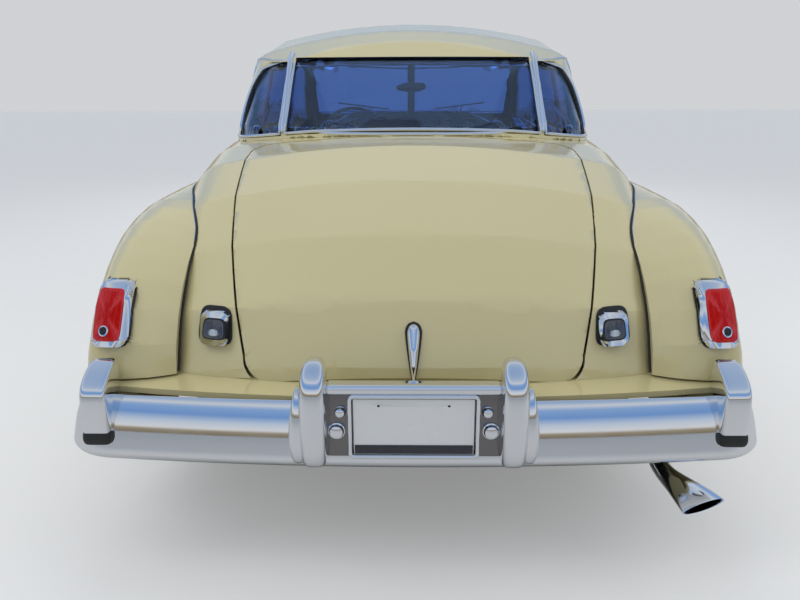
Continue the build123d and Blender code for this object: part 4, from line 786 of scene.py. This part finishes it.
# %% Overriders and end posts
def stack(name, levels, x, way=1, power=3.2, count=36):
    """A closed post at x through level rings (height, y from and to, half width) with rounded corners."""
    rings = []
    for z, y0, y1, half in levels:
        ring, y0, y1 = [], way * y0, way * y1
        for i in range(count):
            c, s = math.cos(2 * math.pi * i / count), math.sin(2 * math.pi * i / count)
            c, s = (math.copysign(abs(c) ** (2 / power), c), math.copysign(abs(s) ** (2 / power), s))
            ring.append((x + half * c, (y0 + y1) / 2 + (y1 - y0) / 2 * s, z))
        rings.append(ring)
    obj = bridged(name, rings, True)
    modify(obj, "SUBSURF", levels=1, render_levels=1)
    return smooth(outward(obj), 60)


POST_X, FLANGE_X, END_X, ARM_X, ARM_Y = 0.254, 0.254 + 0.044, 0.836, 0.35, 2.49
OVERRIDER = [(0.361, 2.566, 2.596, 0.016), (0.363, 2.562, 2.610, 0.024), (0.374, 2.560, 2.624, 0.031),
             (0.400, 2.558, 2.634, 0.034), (0.470, 2.557, 2.638, 0.0355), (0.540, 2.552, 2.638, 0.036),
             (0.585, 2.540, 2.632, 0.035), (0.612, 2.528, 2.618, 0.0325), (0.628, 2.520, 2.598, 0.028),
             (0.6355, 2.522, 2.580, 0.021), (0.638, 2.530, 2.566, 0.011)]
FLANGE = [(0.366, 2.566, 2.592, 0.010), (0.376, 2.560, 2.602, 0.018), (0.420, 2.556, 2.612, 0.024),
          (0.470, 2.554, 2.610, 0.022), (0.520, 2.552, 2.600, 0.017), (0.556, 2.550, 2.584, 0.009),
          (0.566, 2.552, 2.570, 0.004)]
END_POST = [(0.412, 2.478, 2.553, 0.033), (0.424, 2.476, 2.556, 0.0345), (0.500, 2.472, 2.555, 0.036),
            (0.530, 2.436, 2.553, 0.036), (0.548, 2.434, 2.547, 0.0355), (0.566, 2.433, 2.528, 0.035),
            (0.583, 2.433, 2.498, 0.0335), (0.594, 2.435, 2.470, 0.031), (0.598, 2.441, 2.458, 0.022)]
END_GASKET = [(0.396, 2.502, 2.554, 0.034), (0.404, 2.498, 2.5595, 0.0385), (0.422, 2.480, 2.5595, 0.0385),
              (0.428, 2.480, 2.558, 0.036)]
for way, place in ((1, "rear"), (-1, "front")):
    node = place + "_bumper"
    bright(face_bar(f"{place}_face_bar", way), "car", node)
    for side, flip in SIDES:
        bright(stack(f"{place}_overrider_{side}", OVERRIDER, flip * POST_X, way), "car", node)
        bright(stack(f"{place}_flange_{side}", FLANGE, flip * FLANGE_X, way))
        arm = bar(f"{place}_bumper_arm_{side}", (flip * ARM_X - 0.024, way * ARM_Y - 0.05, 0.352),
                  (flip * ARM_X + 0.024, way * ARM_Y + 0.075, 0.376))
        fit(arm, "car", "frame_paint", black_enamel, node)
for side, flip in SIDES:
    bright(stack("end_post_" + side, END_POST, flip * END_X, power=6.5), "car", "rear_bumper")
    black(stack("end_gasket_" + side, END_GASKET, flip * END_X, power=5.0))
print("bars and posts made")

# %% Hood strip, plate frame and bosses
PLATE_HALF, PLATE_LOW, PLATE_HIGH, CORNER = 0.152, 0.402, 0.548, 0.010
bright(bar("plate_hood", (-0.222, 2.556, 0.561), (0.222, 2.606, 0.586), 0.010, 5), "car", "rear_bumper")
# The plate recess is lined with darkened plating, as painted shade for the recess.
fit(bar("plate_recess", (-0.222, 2.574, 0.388), (0.222, 2.594, 0.562), 0.003), "car", "bright_metal",
    recess_shade_plating, "rear_bumper")
corners = [(PLATE_HALF, PLATE_LOW, -45), (PLATE_HALF, PLATE_HIGH, 45), (-PLATE_HALF, PLATE_HIGH, 135),
           (-PLATE_HALF, PLATE_LOW, 225)]
frame_line = [(x + CORNER * math.cos(math.radians(a + t)), 2.603, z + CORNER * math.sin(math.radians(a + t)))
              for x, z, a in corners for t in (-45, -22, 0, 22, 45)]
bright(bead("plate_frame", frame_line, 0.0055, True))
fit(bar("plate_band", (-0.1505, 2.600, 0.400), (0.1505, 2.6035, 0.424), 0.001), "car", "plate", dark_enamel)
for side, flip in SIDES:
    for name, x, z, size in (("high", 0.186, 0.515, 0.013), ("low", 0.196, 0.462, 0.019)):
        dome = [(0, size * 1.15), (0.006, size * 1.15), (0.008, size), (0.016, size * 0.85),
                (0.022, size * 0.45), (0.024, 0)]
        bright(turned(f"plate_boss_{name}_{side}", dome, (flip * x, 2.594, z), (0, 1, 0.05), 28))
print("bumpers made")

# %% [markdown]
# ## Fish-tail exhaust
# The pipe ends in a plated tip that spreads into a wide flat mouth and turns a little outwards. Rings
# along a bent line are bridged, and the skin gets a wall, so the mouth is open.

# %% The tip
TIP = [(-0.720, 2.350, 0.240, 0.026, 0.026, 0), (-0.720, 2.400, 0.240, 0.027, 0.026, 0),
       (-0.724, 2.432, 0.239, 0.030, 0.026, 8), (-0.738, 2.464, 0.236, 0.041, 0.025, 18),
       (-0.756, 2.496, 0.230, 0.058, 0.021, 24), (-0.772, 2.528, 0.222, 0.071, 0.016, 26),
       (-0.782, 2.550, 0.216, 0.076, 0.0135, 26)]
rings = []
for x, y, z, wide, high, angle in TIP:
    c, s = math.cos(math.radians(angle)), math.sin(math.radians(angle))
    rings.append([(x + wide * math.cos(a) * c, y + wide * math.cos(a) * s, z + high * math.sin(a))
                  for a in (2 * math.pi * i / 40 for i in range(40))])
tip = outward(bridged("exhaust_tip", rings, False))
modify(tip, "SOLIDIFY", thickness=0.002, offset=-1)
modify(tip, "SUBSURF", levels=2, render_levels=2)
bright(smooth(tip, 60), "car", "exhaust")
print("tip made")

# %% [markdown]
# ## Seams
# A dark rubber welt with a thin bright edge lies in the joint between each rear wing and the body.
# Lines are cast in a fan from outside; where the outermost surface changes from body to wing, there is
# the joint.

# %% Welts along the rear wings
HEART, WELT_FOOT = Vector((0, 1.45, 0.35)), 0.530
for side, flip in SIDES:
    wing, line = wing_skins[side], []
    for angle in steps(2, 88, 46):
        out = Vector((0, math.sin(math.radians(angle)), math.cos(math.radians(angle))))
        last = None
        for x in steps(0.60, 0.90, 76):
            start = HEART + out * 2 + Vector((flip * x, 0, 0))
            hits = [tree.ray_cast(start, -out) for tree in (body_skin, wing)]
            reach = [hit[3] if hit[0] else 9 for hit in hits]
            if reach[1] < reach[0] and reach[0] < 9 and last:
                line.append((hits[1][0] + last) / 2 + out * 0.001)
                break
            last = hits[0][0] if reach[0] < 9 else None
    rows = [line[max(0, i - 2):i + 3] for i in range(len(line))]
    line = [sum(row, Vector()) / len(row) for row in rows]
    down = (line[-1] - line[-4]).normalized()
    line.append(line[-1] + down * max(0.004, (line[-1].z - WELT_FOOT) / max(0.2, -down.z)))
    black(bead("wing_welt_" + side, line, 0.0042))
    edge = [place + Vector((flip * 0.0046, 0, 0.001)) for place in line]
    bright(bead("wing_welt_bright_" + side, edge, 0.0015, rounds=2))
    print(side, "welt points", len(line), [round(c, 3) for c in line[0]], [round(c, 3) for c in line[-1]])

# %% [markdown]
# ## Wheels and tyres
# A tyre is turned on a lathe: the sidewall bulges, the shoulder is round and four grooves run round the
# tread. A plated cap and a trim ring are turned for each wheel. All of them spin with their wheel.

# %% Tyres, caps and trim rings
TYRE = [(0.068, 0.197), (0.080, 0.2005), (0.092, 0.222), (0.1005, 0.252), (0.1022, 0.282), (0.0985, 0.312),
        (0.092, 0.336), (0.086, 0.350), (0.078, 0.3575), (0.068, 0.3605), (0.0575, 0.3620), (0.0565, 0.3550),
        (0.0525, 0.3550), (0.0515, 0.3625), (0.0250, 0.3645), (0.0240, 0.3565), (0.0200, 0.3565),
        (0.0190, 0.3648), (0.0, 0.3650)]
CAP = [(0.066, 0.136), (0.074, 0.137), (0.078, 0.131), (0.083, 0.112), (0.088, 0.080), (0.089, 0.060),
       (0.092, 0.052), (0.095, 0.034), (0.0965, 0.0)]
TRIM_RING = [(0.060, 0.206), (0.074, 0.2035), (0.0805, 0.196), (0.080, 0.186), (0.074, 0.176), (0.066, 0.170)]
WHOLE_TYRE = TYRE + [(-a, r) for a, r in reversed(TYRE[:-1])] + [(-0.060, 0.1965), (0.060, 0.1965), TYRE[0]]
for end in ("front", "rear"):
    for side, flip in SIDES:
        wheel, tyre = f"wheel_{end}_{side}", f"tyre_{end}_{side}"
        low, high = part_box(tyre)
        centre = [(a + b) / 2 for a, b in zip(low, high)]
        fit(turned("rubber_" + tyre, WHOLE_TYRE, centre, (flip, 0, 0), 96), wheel, "tyre", rubber, tyre)
        bright(turned("cap_" + wheel, CAP, centre, (flip, 0, 0), 64), wheel)
        bright(turned("trim_" + wheel, TRIM_RING, centre, (flip, 0, 0), 72), wheel)
print("tyres made")

# %% [markdown]
# ## Benches
# A bench has a cushion and a backrest of sprung horsehair under hide. Each is a crowned pad whose sides
# pull in between its corners, with sewn channels from front to back. A cube is sliced into small
# facets; its points are then moved: rounded, crowned, pulled in, and pressed down along each seam.


# %% The pads
def pad(name, size, place, lean, channels, crown, node, upright=False):
    """A padded block, leaning about its lower front edge, that stands in place."""
    pick()
    bpy.ops.mesh.primitive_cube_add(size=2)
    obj = bpy.context.object
    obj.name = name
    half = [s / 2 for s in size]
    shape = bmesh.new()
    shape.from_mesh(obj.data)
    for axis, cuts in ((0, channels * 7), (1, 14), (2, 8)):
        cut(shape, axis, [2 * i / cuts - 1 for i in range(1, cuts)])
    shape.to_mesh(obj.data)
    shape.free()
    top_axis, side_axis, sign = (1, 2, -1) if upright else (2, 1, 1)
    s, c = math.sin(math.radians(lean)), math.cos(math.radians(lean))

    def puff(p):
        far, power = max(abs(p.x), abs(p.y), abs(p.z)), 9
        reach = (abs(p.x) ** power + abs(p.y) ** power + abs(p.z) ** power) ** (1 / power)
        round_off = far / reach if far else 1
        u = [p.x * round_off, p.y * round_off, p.z * round_off]
        face, along = sign * u[top_axis], u[side_axis]
        middle = (1 - u[0] ** 4) * (1 - along ** 2)
        seam = math.exp(-(((u[0] * channels / 2 + 0.5 * (channels % 2)) % 1 - 0.5) / 0.10) ** 2)
        dent = 0.010 * seam * (1 - max(0, abs(u[0]) - 0.9) * 10) * (1 - along ** 8)
        rise = max(0, face) ** 2 * (crown * middle - dent)
        inner = [u[0] * half[0] * (1 - 0.012 * (1 - along ** 2)), u[1] * half[1], u[2] * half[2]]
        inner[side_axis] *= 1 - 0.030 * (1 - u[0] ** 2) * (1 - face ** 2)
        inner[top_axis] += rise * sign
        x, y, z = inner[0], inner[1] + half[1], inner[2] + half[2]
        return Vector((place[0] + x, place[1] + y * c + z * s, place[2] + z * c - y * s))

    reshape(obj, puff)
    modify(obj, "SUBSURF", levels=1, render_levels=1)
    outward(obj)
    fit(smooth(obj, 70), "car", "bench_leather", hide, node)


pad("front_cushion", (1.256, 0.500, 0.150), (0, -0.272, 0.482), 0, 16, 0.012, "front_bench")
pad("front_backrest", (1.256, 0.112, 0.440), (0, 0.252, 0.556), 12, 16, 0.010, "front_bench", True)
pad("rear_cushion", (1.176, 0.395, 0.180), (0, 0.570, 0.452), 0, 15, 0.012, "rear_bench")
pad("rear_backrest", (1.176, 0.112, 0.405), (0, 1.020, 0.590), 14, 15, 0.010, "rear_bench", True)
for side, flip in SIDES:
    low_corner = (min(flip * 0.17, flip * 0.57), -0.21, 0.345)
    high_corner = (max(flip * 0.17, flip * 0.57), 0.235, 0.488)
    fit(bar("front_plinth_" + side, low_corner, high_corner, 0.012), "car", "frame_paint", black_enamel,
        "front_bench")
print("pads made")

# %% [markdown]
# ## Cabin
# Seen through the glass, the cabin needs its dark headlining and door linings, a steering wheel with a
# horn ring, dials in the dash and the oval mirror on the windscreen's centre bar. The linings are laid
# on the solids like the lamp skins, so they follow roof and doors. What is round is turned, since a
# lathe profile keeps a rim or a dial even all the way round.

# %% Linings
door_skins = {side: surface("door_" + side) for side, _ in SIDES}
ceiling = skin_on("headlining", roof_skin, (0, 0.26, 1.30), (0, 0.0001, 1), (0.58, 0.66), 0.004, 0, 5, 30)
fit(ceiling, "car", "bench_leather", headlining)
for side, flip in SIDES:
    skin, outwards = door_skins[side], (flip, 0, 0)
    card = skin_on("door_card_" + side, skin, (0, -0.20, 0.735), outwards, (0.56, 0.26), 0.004, 0.004, 9, 30)
    fit(card, "door_" + side, "bench_leather", hide)
    inner = land(skin, (0, -0.13, 0.78), outwards)
    rest = stack("armrest_" + side, [(z, -0.13 - half, -0.13 + half, wide) for z, half, wide in (
        (0.760, 0.12, 0.015), (0.770, 0.16, 0.030), (0.795, 0.17, 0.034), (0.805, 0.15, 0.024))],
        inner.x - flip * 0.028)
    fit(rest, "door_" + side, "bench_leather", hide)
print("linings made")

# %% Steering wheel
HUB, RAKE = Vector((0.372, -0.430, 0.985)), math.radians(28)
RIM = [(0.0115 * math.sin(a), 0.211 + 0.0110 * math.cos(a)) for a in steps(0, 2 * math.pi, 17)]
HORN = [(0.0215 + 0.0035 * math.sin(a), 0.128 + 0.0040 * math.cos(a)) for a in steps(0, 2 * math.pi, 13)]
BOSS = [(-0.020, 0.0), (-0.020, 0.030), (0.010, 0.034), (0.018, 0.031), (0.024, 0.020), (0.027, 0.0)]
column = Vector((0, math.cos(RAKE), math.sin(RAKE)))


def plastic(obj):
    """Hands over a moulded piece of the steering wheel."""
    fit(obj, "steering_wheel", "wheel_rim_plastic", blue_plastic, "steering_wheel")


plastic(turned("wheel_rim", RIM, HUB, column, 96))
bright(turned("horn_ring", HORN, HUB, column, 72), "steering_wheel", "steering_wheel")
plastic(turned("wheel_boss", BOSS, HUB, column, 40))
plane_up = column.cross(Vector((1, 0, 0))).normalized()
for name, way in (("left", Vector((1, 0, 0))), ("right", Vector((-1, 0, 0))),
                  ("low", -plane_up if plane_up.z > 0 else plane_up)):
    spoke = [HUB + way * r + column * 0.004 * (1 - r / 0.21) for r in (0.02, 0.08, 0.15, 0.208)]
    plastic(bead("spoke_" + name, spoke, 0.0085))
    tie = [HUB + way * r + column * 0.020 for r in (0.02, 0.07, 0.126)]
    bright(bead("horn_tie_" + name, tie, 0.0030), "steering_wheel", "steering_wheel")
print("steering wheel made")

# %% Dash dials and the oval mirror
dash_skin, screen = surface("dashboard"), surface("fixed_glass")
for i, (x, size) in enumerate(((0.300, 0.052), (0.445, 0.052), (-0.05, 0.040), (-0.40, 0.034))):
    face = land(dash_skin, (x, 0.3, 0.925), FORWARD, 0.001)
    ring = [(0, size * 0.86), (0.008, size * 0.90), (0.009, size), (0, size * 1.08)]
    bright(turned(f"dial_ring_{i}", ring, face, REARWARD, 40))
    disc = [(0.0045, 0), (0.0045, size * 0.84), (0, size * 0.88)]
    fit(turned(f"dial_face_{i}", disc, face, REARWARD, 40), "car", "plate", white_enamel)
strip = run(dash_skin, [(x, 0.3, 0.865) for x in steps(-0.66, 0.66, 24)], FORWARD, 0.001)
bright(bead("dash_strip", strip, 0.005, rounds=2))
mount = land(screen, (0.05, 0.3, 1.335), FORWARD)
mount.x = 0
OVAL = [(-0.010, 0.0), (-0.009, 0.70), (-0.004, 0.95), (0.001, 1.0), (0.0035, 0.985), (0.0035, 0.94)]
for name, outline, material in (("shell", OVAL, chrome),
                                ("glass", [(0.003, 0.0), (0.003, 0.93), (0.001, 0.95)], mirror_glass)):
    oval = turned("mirror_" + name, [(a, r * 0.1) for a, r in outline], (0, 0, 0), (0, 1, 0.10))
    reshape(oval, lambda p: Vector((p.x, p.y + mount.y + 0.075, p.z * 0.30 + 1.300)))
    fit(smooth(oval, 40), "car", "bright_metal", material)
stalk = [mount + Vector((0, 0.010, 0)), mount + Vector((0, 0.045, 0)), Vector((0, mount.y + 0.066, 1.304))]
bright(bead("mirror_stalk", stalk, 0.006))
print("cabin made")

# %% [markdown]
# ## Bright work on the sides and the front
# Mirrors and handles ride on their doors, so they swing with them. Headlamps are a plated ring round a
# ribbed glass. A slim fin runs down the bonnet, and two wipers rest on the windscreen. A side strip
# could be a long bar bent by eye, but a row of lines cast onto the panel finds its curve exactly.

# %% Door mirrors, handles, side strips and gutters
BESIDE, HANDLE_Z, STRIP_Z = 1.4, 0.985, 0.700
BOWL = [(-0.030, 0.0), (-0.028, 0.014), (-0.020, 0.032), (-0.008, 0.046), (0.002, 0.0505), (0.005, 0.0495),
        (0.005, 0.0465)]
MIRROR_FACE = [(0.0035, 0), (0.0035, 0.046), (0.001, 0.0475)]
MIRROR_FOOT = [(-0.004, 0.020), (0.004, 0.019), (0.009, 0.012), (0.011, 0)]
ROSE = [(0, 0.017), (0.004, 0.016), (0.006, 0.011), (0.007, 0)]
for side, flip in SIDES:
    door, skin, inwards = "door_" + side, door_skins[side], (-flip, 0, 0)
    foot = land(skin, (flip * BESIDE, -0.66, 1.062), inwards)
    head = foot + Vector((flip * 0.030, 0.010, 0.125))
    arm = [foot + Vector((-flip * 0.004, 0, -0.004)), foot + Vector((flip * 0.012, 0, 0.050)), head]
    bright(bead("mirror_arm_" + side, arm, 0.0065), door)
    aim = Vector((-flip * 0.16, 1, 0.04))
    bright(turned("mirror_bowl_" + side, BOWL, head, aim), door)
    fit(turned("mirror_face_" + side, MIRROR_FACE, head, aim), door, "bright_metal", mirror_glass)
    bright(turned("mirror_foot_" + side, MIRROR_FOOT, foot, (flip, 0, 0.35), 28), door)
    grip = run(skin, [(flip * BESIDE, y, HANDLE_Z) for y in steps(0.235, 0.385, 7)], inwards, 0.024)
    ends = [land(skin, (flip * BESIDE, y, HANDLE_Z), inwards, 0.001) for y in (0.225, 0.395)]
    bright(bead("door_handle_" + side, [ends[0]] + grip + [ends[1]], 0.0085), door)
    for name, y in (("front", 0.225), ("rear", 0.395)):
        spot = land(skin, (flip * BESIDE, y, HANDLE_Z), inwards)
        bright(turned(f"handle_rose_{name}_{side}", ROSE, spot, (flip, 0, 0.1), 24), door)
    for name, tree, body, first, last in (("door", skin, door, -0.820, 0.425),
                                          ("wing", surface("front_wing_" + side), "car", -2.30, -0.880)):
        line = run(tree, [(flip * BESIDE, y, STRIP_Z) for y in steps(first, last, 26)], inwards, 0.0015)
        bright(bead(f"side_strip_{name}_{side}", line, 0.0085), body)
    edge = [(flip * BESIDE, y, 1.447 - 0.045 * max(0, (y - 0.5) / 0.7) ** 2) for y in steps(-0.80, 1.05, 34)]
    gutter = run(roof_skin, edge, (-flip, 0, -0.02), 0.002)
    bright(bead("roof_gutter_" + side, gutter, 0.0055))
print("side trim made")

# %% Headlamps and parking lamps
LAMP_X, LAMPS_PART_Z = 0.715, 0.66
for side, flip in SIDES:
    for name, z, size, lens in (("head", 0.770, 0.098, clear_lens), ("parking", 0.590, 0.050, amber_lens)):
        housing = node_copy("front_lamps", f"{name}_lamp_body_{side}")
        trim(housing, lambda p: p.x * flip > 0 and (p.z > LAMPS_PART_Z) == (name == "head"))
        bright(smooth(housing, 35), "car", "front_lamps")
        spot = Vector((flip * LAMP_X, min(v.co.y for v in housing.data.vertices) + 0.002, z))
        ring = [(-0.030, size * 0.99), (-0.004, size * 1.0), (0.0015, size * 0.965), (0.0015, size * 0.90),
                (-0.003, size * 0.86)]
        bright(turned(f"{name}_ring_{side}", ring, spot, FORWARD, 56))
        glass = [(0.0018, 0), (0.0015, size * 0.3), (0.0003, size * 0.6), (-0.0025, size * 0.87)]
        fit(turned(f"{name}_glass_{side}", glass, spot, FORWARD, 56), "car", "lamp_glass", lens)
print("front lamps made")

# %% Bonnet strip, fin and wipers
crest = run(surface("bonnet"), [(0, y, 2.0) for y in steps(-2.30, -1.15, 40)], DOWN, 0.002)
bright(bead("bonnet_strip", crest, 0.006), "bonnet")
nose = crest[2]
FIN = [(0, 0), (0.0, 0.004), (0.03, 0.016), (0.09, 0.022), (0.18, 0.018), (0.30, 0.010), (0.38, 0.0)]
fin = turned("bonnet_fin", FIN, (0, nose.y - 0.02, nose.z + 0.018), crest[14] - crest[4], 32)
reshape(fin, lambda p: Vector((p.x * 0.62, p.y, p.z)))
bright(smooth(fin, 40), "bonnet")
cowl_skin = surface("cowl")
for side, flip in SIDES:
    sweep = [(flip * (0.16 + 0.34 * t), -2.0, 1.150 + 0.045 * t) for t in steps(0, 1, 8)]
    blade = run(screen, sweep, REARWARD, 0.008)
    black(bead("wiper_blade_" + side, blade, 0.0045, rounds=2))
    root = land(cowl_skin, (flip * 0.34, -0.955, 1.6), DOWN, 0.004)
    middle = blade[len(blade) // 2]
    arm = [root, root.lerp(middle, 0.5) + Vector((0, -0.012, 0.012)), middle + Vector((0, -0.005, 0.004))]
    bright(bead("wiper_arm_" + side, arm, 0.004))
print("front trim made")

# %% [markdown]
# ## Floor, light and camera
# A plain pale floor, a pale sky and four large soft lamps light the car evenly. The camera stands
# behind the car at chest height, because the rear is the side to be looked at.

# %% Floor
pick()
bpy.ops.mesh.primitive_grid_add(x_subdivisions=2, y_subdivisions=2, size=1)
floor = bpy.context.object
floor.name = "studio_floor"
floor.scale = (80, 80, 1)
settle(floor)
stone = finish("pale_floor", (0.60, 0.60, 0.60), (0.55, 0.7), 0.03, 60)
tree = stone.node_tree
paths = add(tree, "ShaderNodeLightPath")
seen = add(tree, "ShaderNodeEmission", Color=(0.80, 0.80, 0.80, 1), Strength=0.30)
lit = add(tree, "ShaderNodeAddShader")
both = add(tree, "ShaderNodeMixShader")
shader, out = tree.nodes["Principled BSDF"], tree.nodes["Material Output"]
join(tree, (shader, 0, lit, 0), (seen, 0, lit, 1), (paths, "Is Camera Ray", both, 0), (shader, 0, both, 1),
     (lit, 0, both, 2), (both, 0, out, "Surface"))
paint(floor, stone)
floor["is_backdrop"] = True

# %% Sky
world = bpy.data.worlds.new("pale_sky")
bpy.context.scene.world = world
world.use_nodes = True
sky = world.node_tree
sky.nodes.clear()
out = add(sky, "ShaderNodeOutputWorld")
light = add(sky, "ShaderNodeBackground", Color=(0.92, 0.96, 1.0, 1), Strength=0.62)
view = add(sky, "ShaderNodeBackground", Color=(0.63, 0.64, 0.66, 1), Strength=1.0)
shine = add(sky, "ShaderNodeBackground", Strength=0.85)
place = add(sky, "ShaderNodeTexCoord")
axes = add(sky, "ShaderNodeSeparateXYZ")
ramp = add(sky, "ShaderNodeValToRGB")
for at, colour in ((0.0, (0.26, 0.22, 0.16)), (0.05, (0.40, 0.34, 0.24)), (0.085, (0.85, 0.86, 0.88)),
                   (0.20, (0.62, 0.72, 0.86)), (0.34, (0.20, 0.38, 0.74)), (0.50, (0.30, 0.48, 0.80)),
                   (0.62, (0.74, 0.78, 0.84)), (0.80, (0.46, 0.58, 0.78))):
    stop = ramp.color_ramp.elements[0] if at == 0.0 else ramp.color_ramp.elements.new(at)
    stop.color = (*colour, 1)
ramp.color_ramp.elements[-1].color = (0.34, 0.48, 0.74, 1)
paths = add(sky, "ShaderNodeLightPath")
through = add(sky, "ShaderNodeMath", operation="MAXIMUM")
first = add(sky, "ShaderNodeMixShader")
second = add(sky, "ShaderNodeMixShader")
join(sky, (place, "Generated", axes, 0), (axes, "Z", ramp, 0), (ramp, 0, shine, 0),
     (paths, "Is Camera Ray", through, 0), (paths, "Is Transmission Ray", through, 1),
     (paths, "Is Glossy Ray", first, 0), (light, 0, first, 1), (shine, 0, first, 2), (through, 0, second, 0),
     (first, 0, second, 1), (view, 0, second, 2), (second, 0, out, 0))
print("floor and sky ready")

# %% Lamps and camera
CAR_MIDDLE = Vector((0, 0.4, 0.6))
for name, place, size, power in (("key", (2.8, 3.6, 4.2), 2.6, 60), ("fill", (-3.6, 2.6, 3.0), 3.0, 36),
                                 ("front", (0, -5.2, 3.6), 3.2, 50), ("top", (0, 0, 5.2), 3.6, 45)):
    light = bpy.data.lights.new(name + "_lamp", "AREA")
    light.energy, light.size = power, size
    lamp = new_object(name + "_lamp", light)
    lamp.location = place
    lamp.visible_glossy = False
    lamp.rotation_euler = (CAR_MIDDLE - Vector(place)).to_track_quat("-Z", "Y").to_euler()

lens = bpy.data.cameras.new("behind_the_car")
lens.sensor_width, lens.lens = 36, 32.24
camera = new_object("behind_the_car", lens)
camera.location = (0.012, 4.248, 1.297)
camera.rotation_euler = [math.radians(a) for a in (73.52, 0.15, 180.72)]
bpy.context.scene.camera = camera
bpy.context.scene.view_settings.view_transform = "Standard"
print("camera at", tuple(camera.location))

# %% Sizes, and the end
low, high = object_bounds()
{"cad": [list(cad_low), list(cad_high)], "visual": [list(low), list(high)]}
print("whole car from", [round(c, 3) for c in low], "to", [round(c, 3) for c in high])
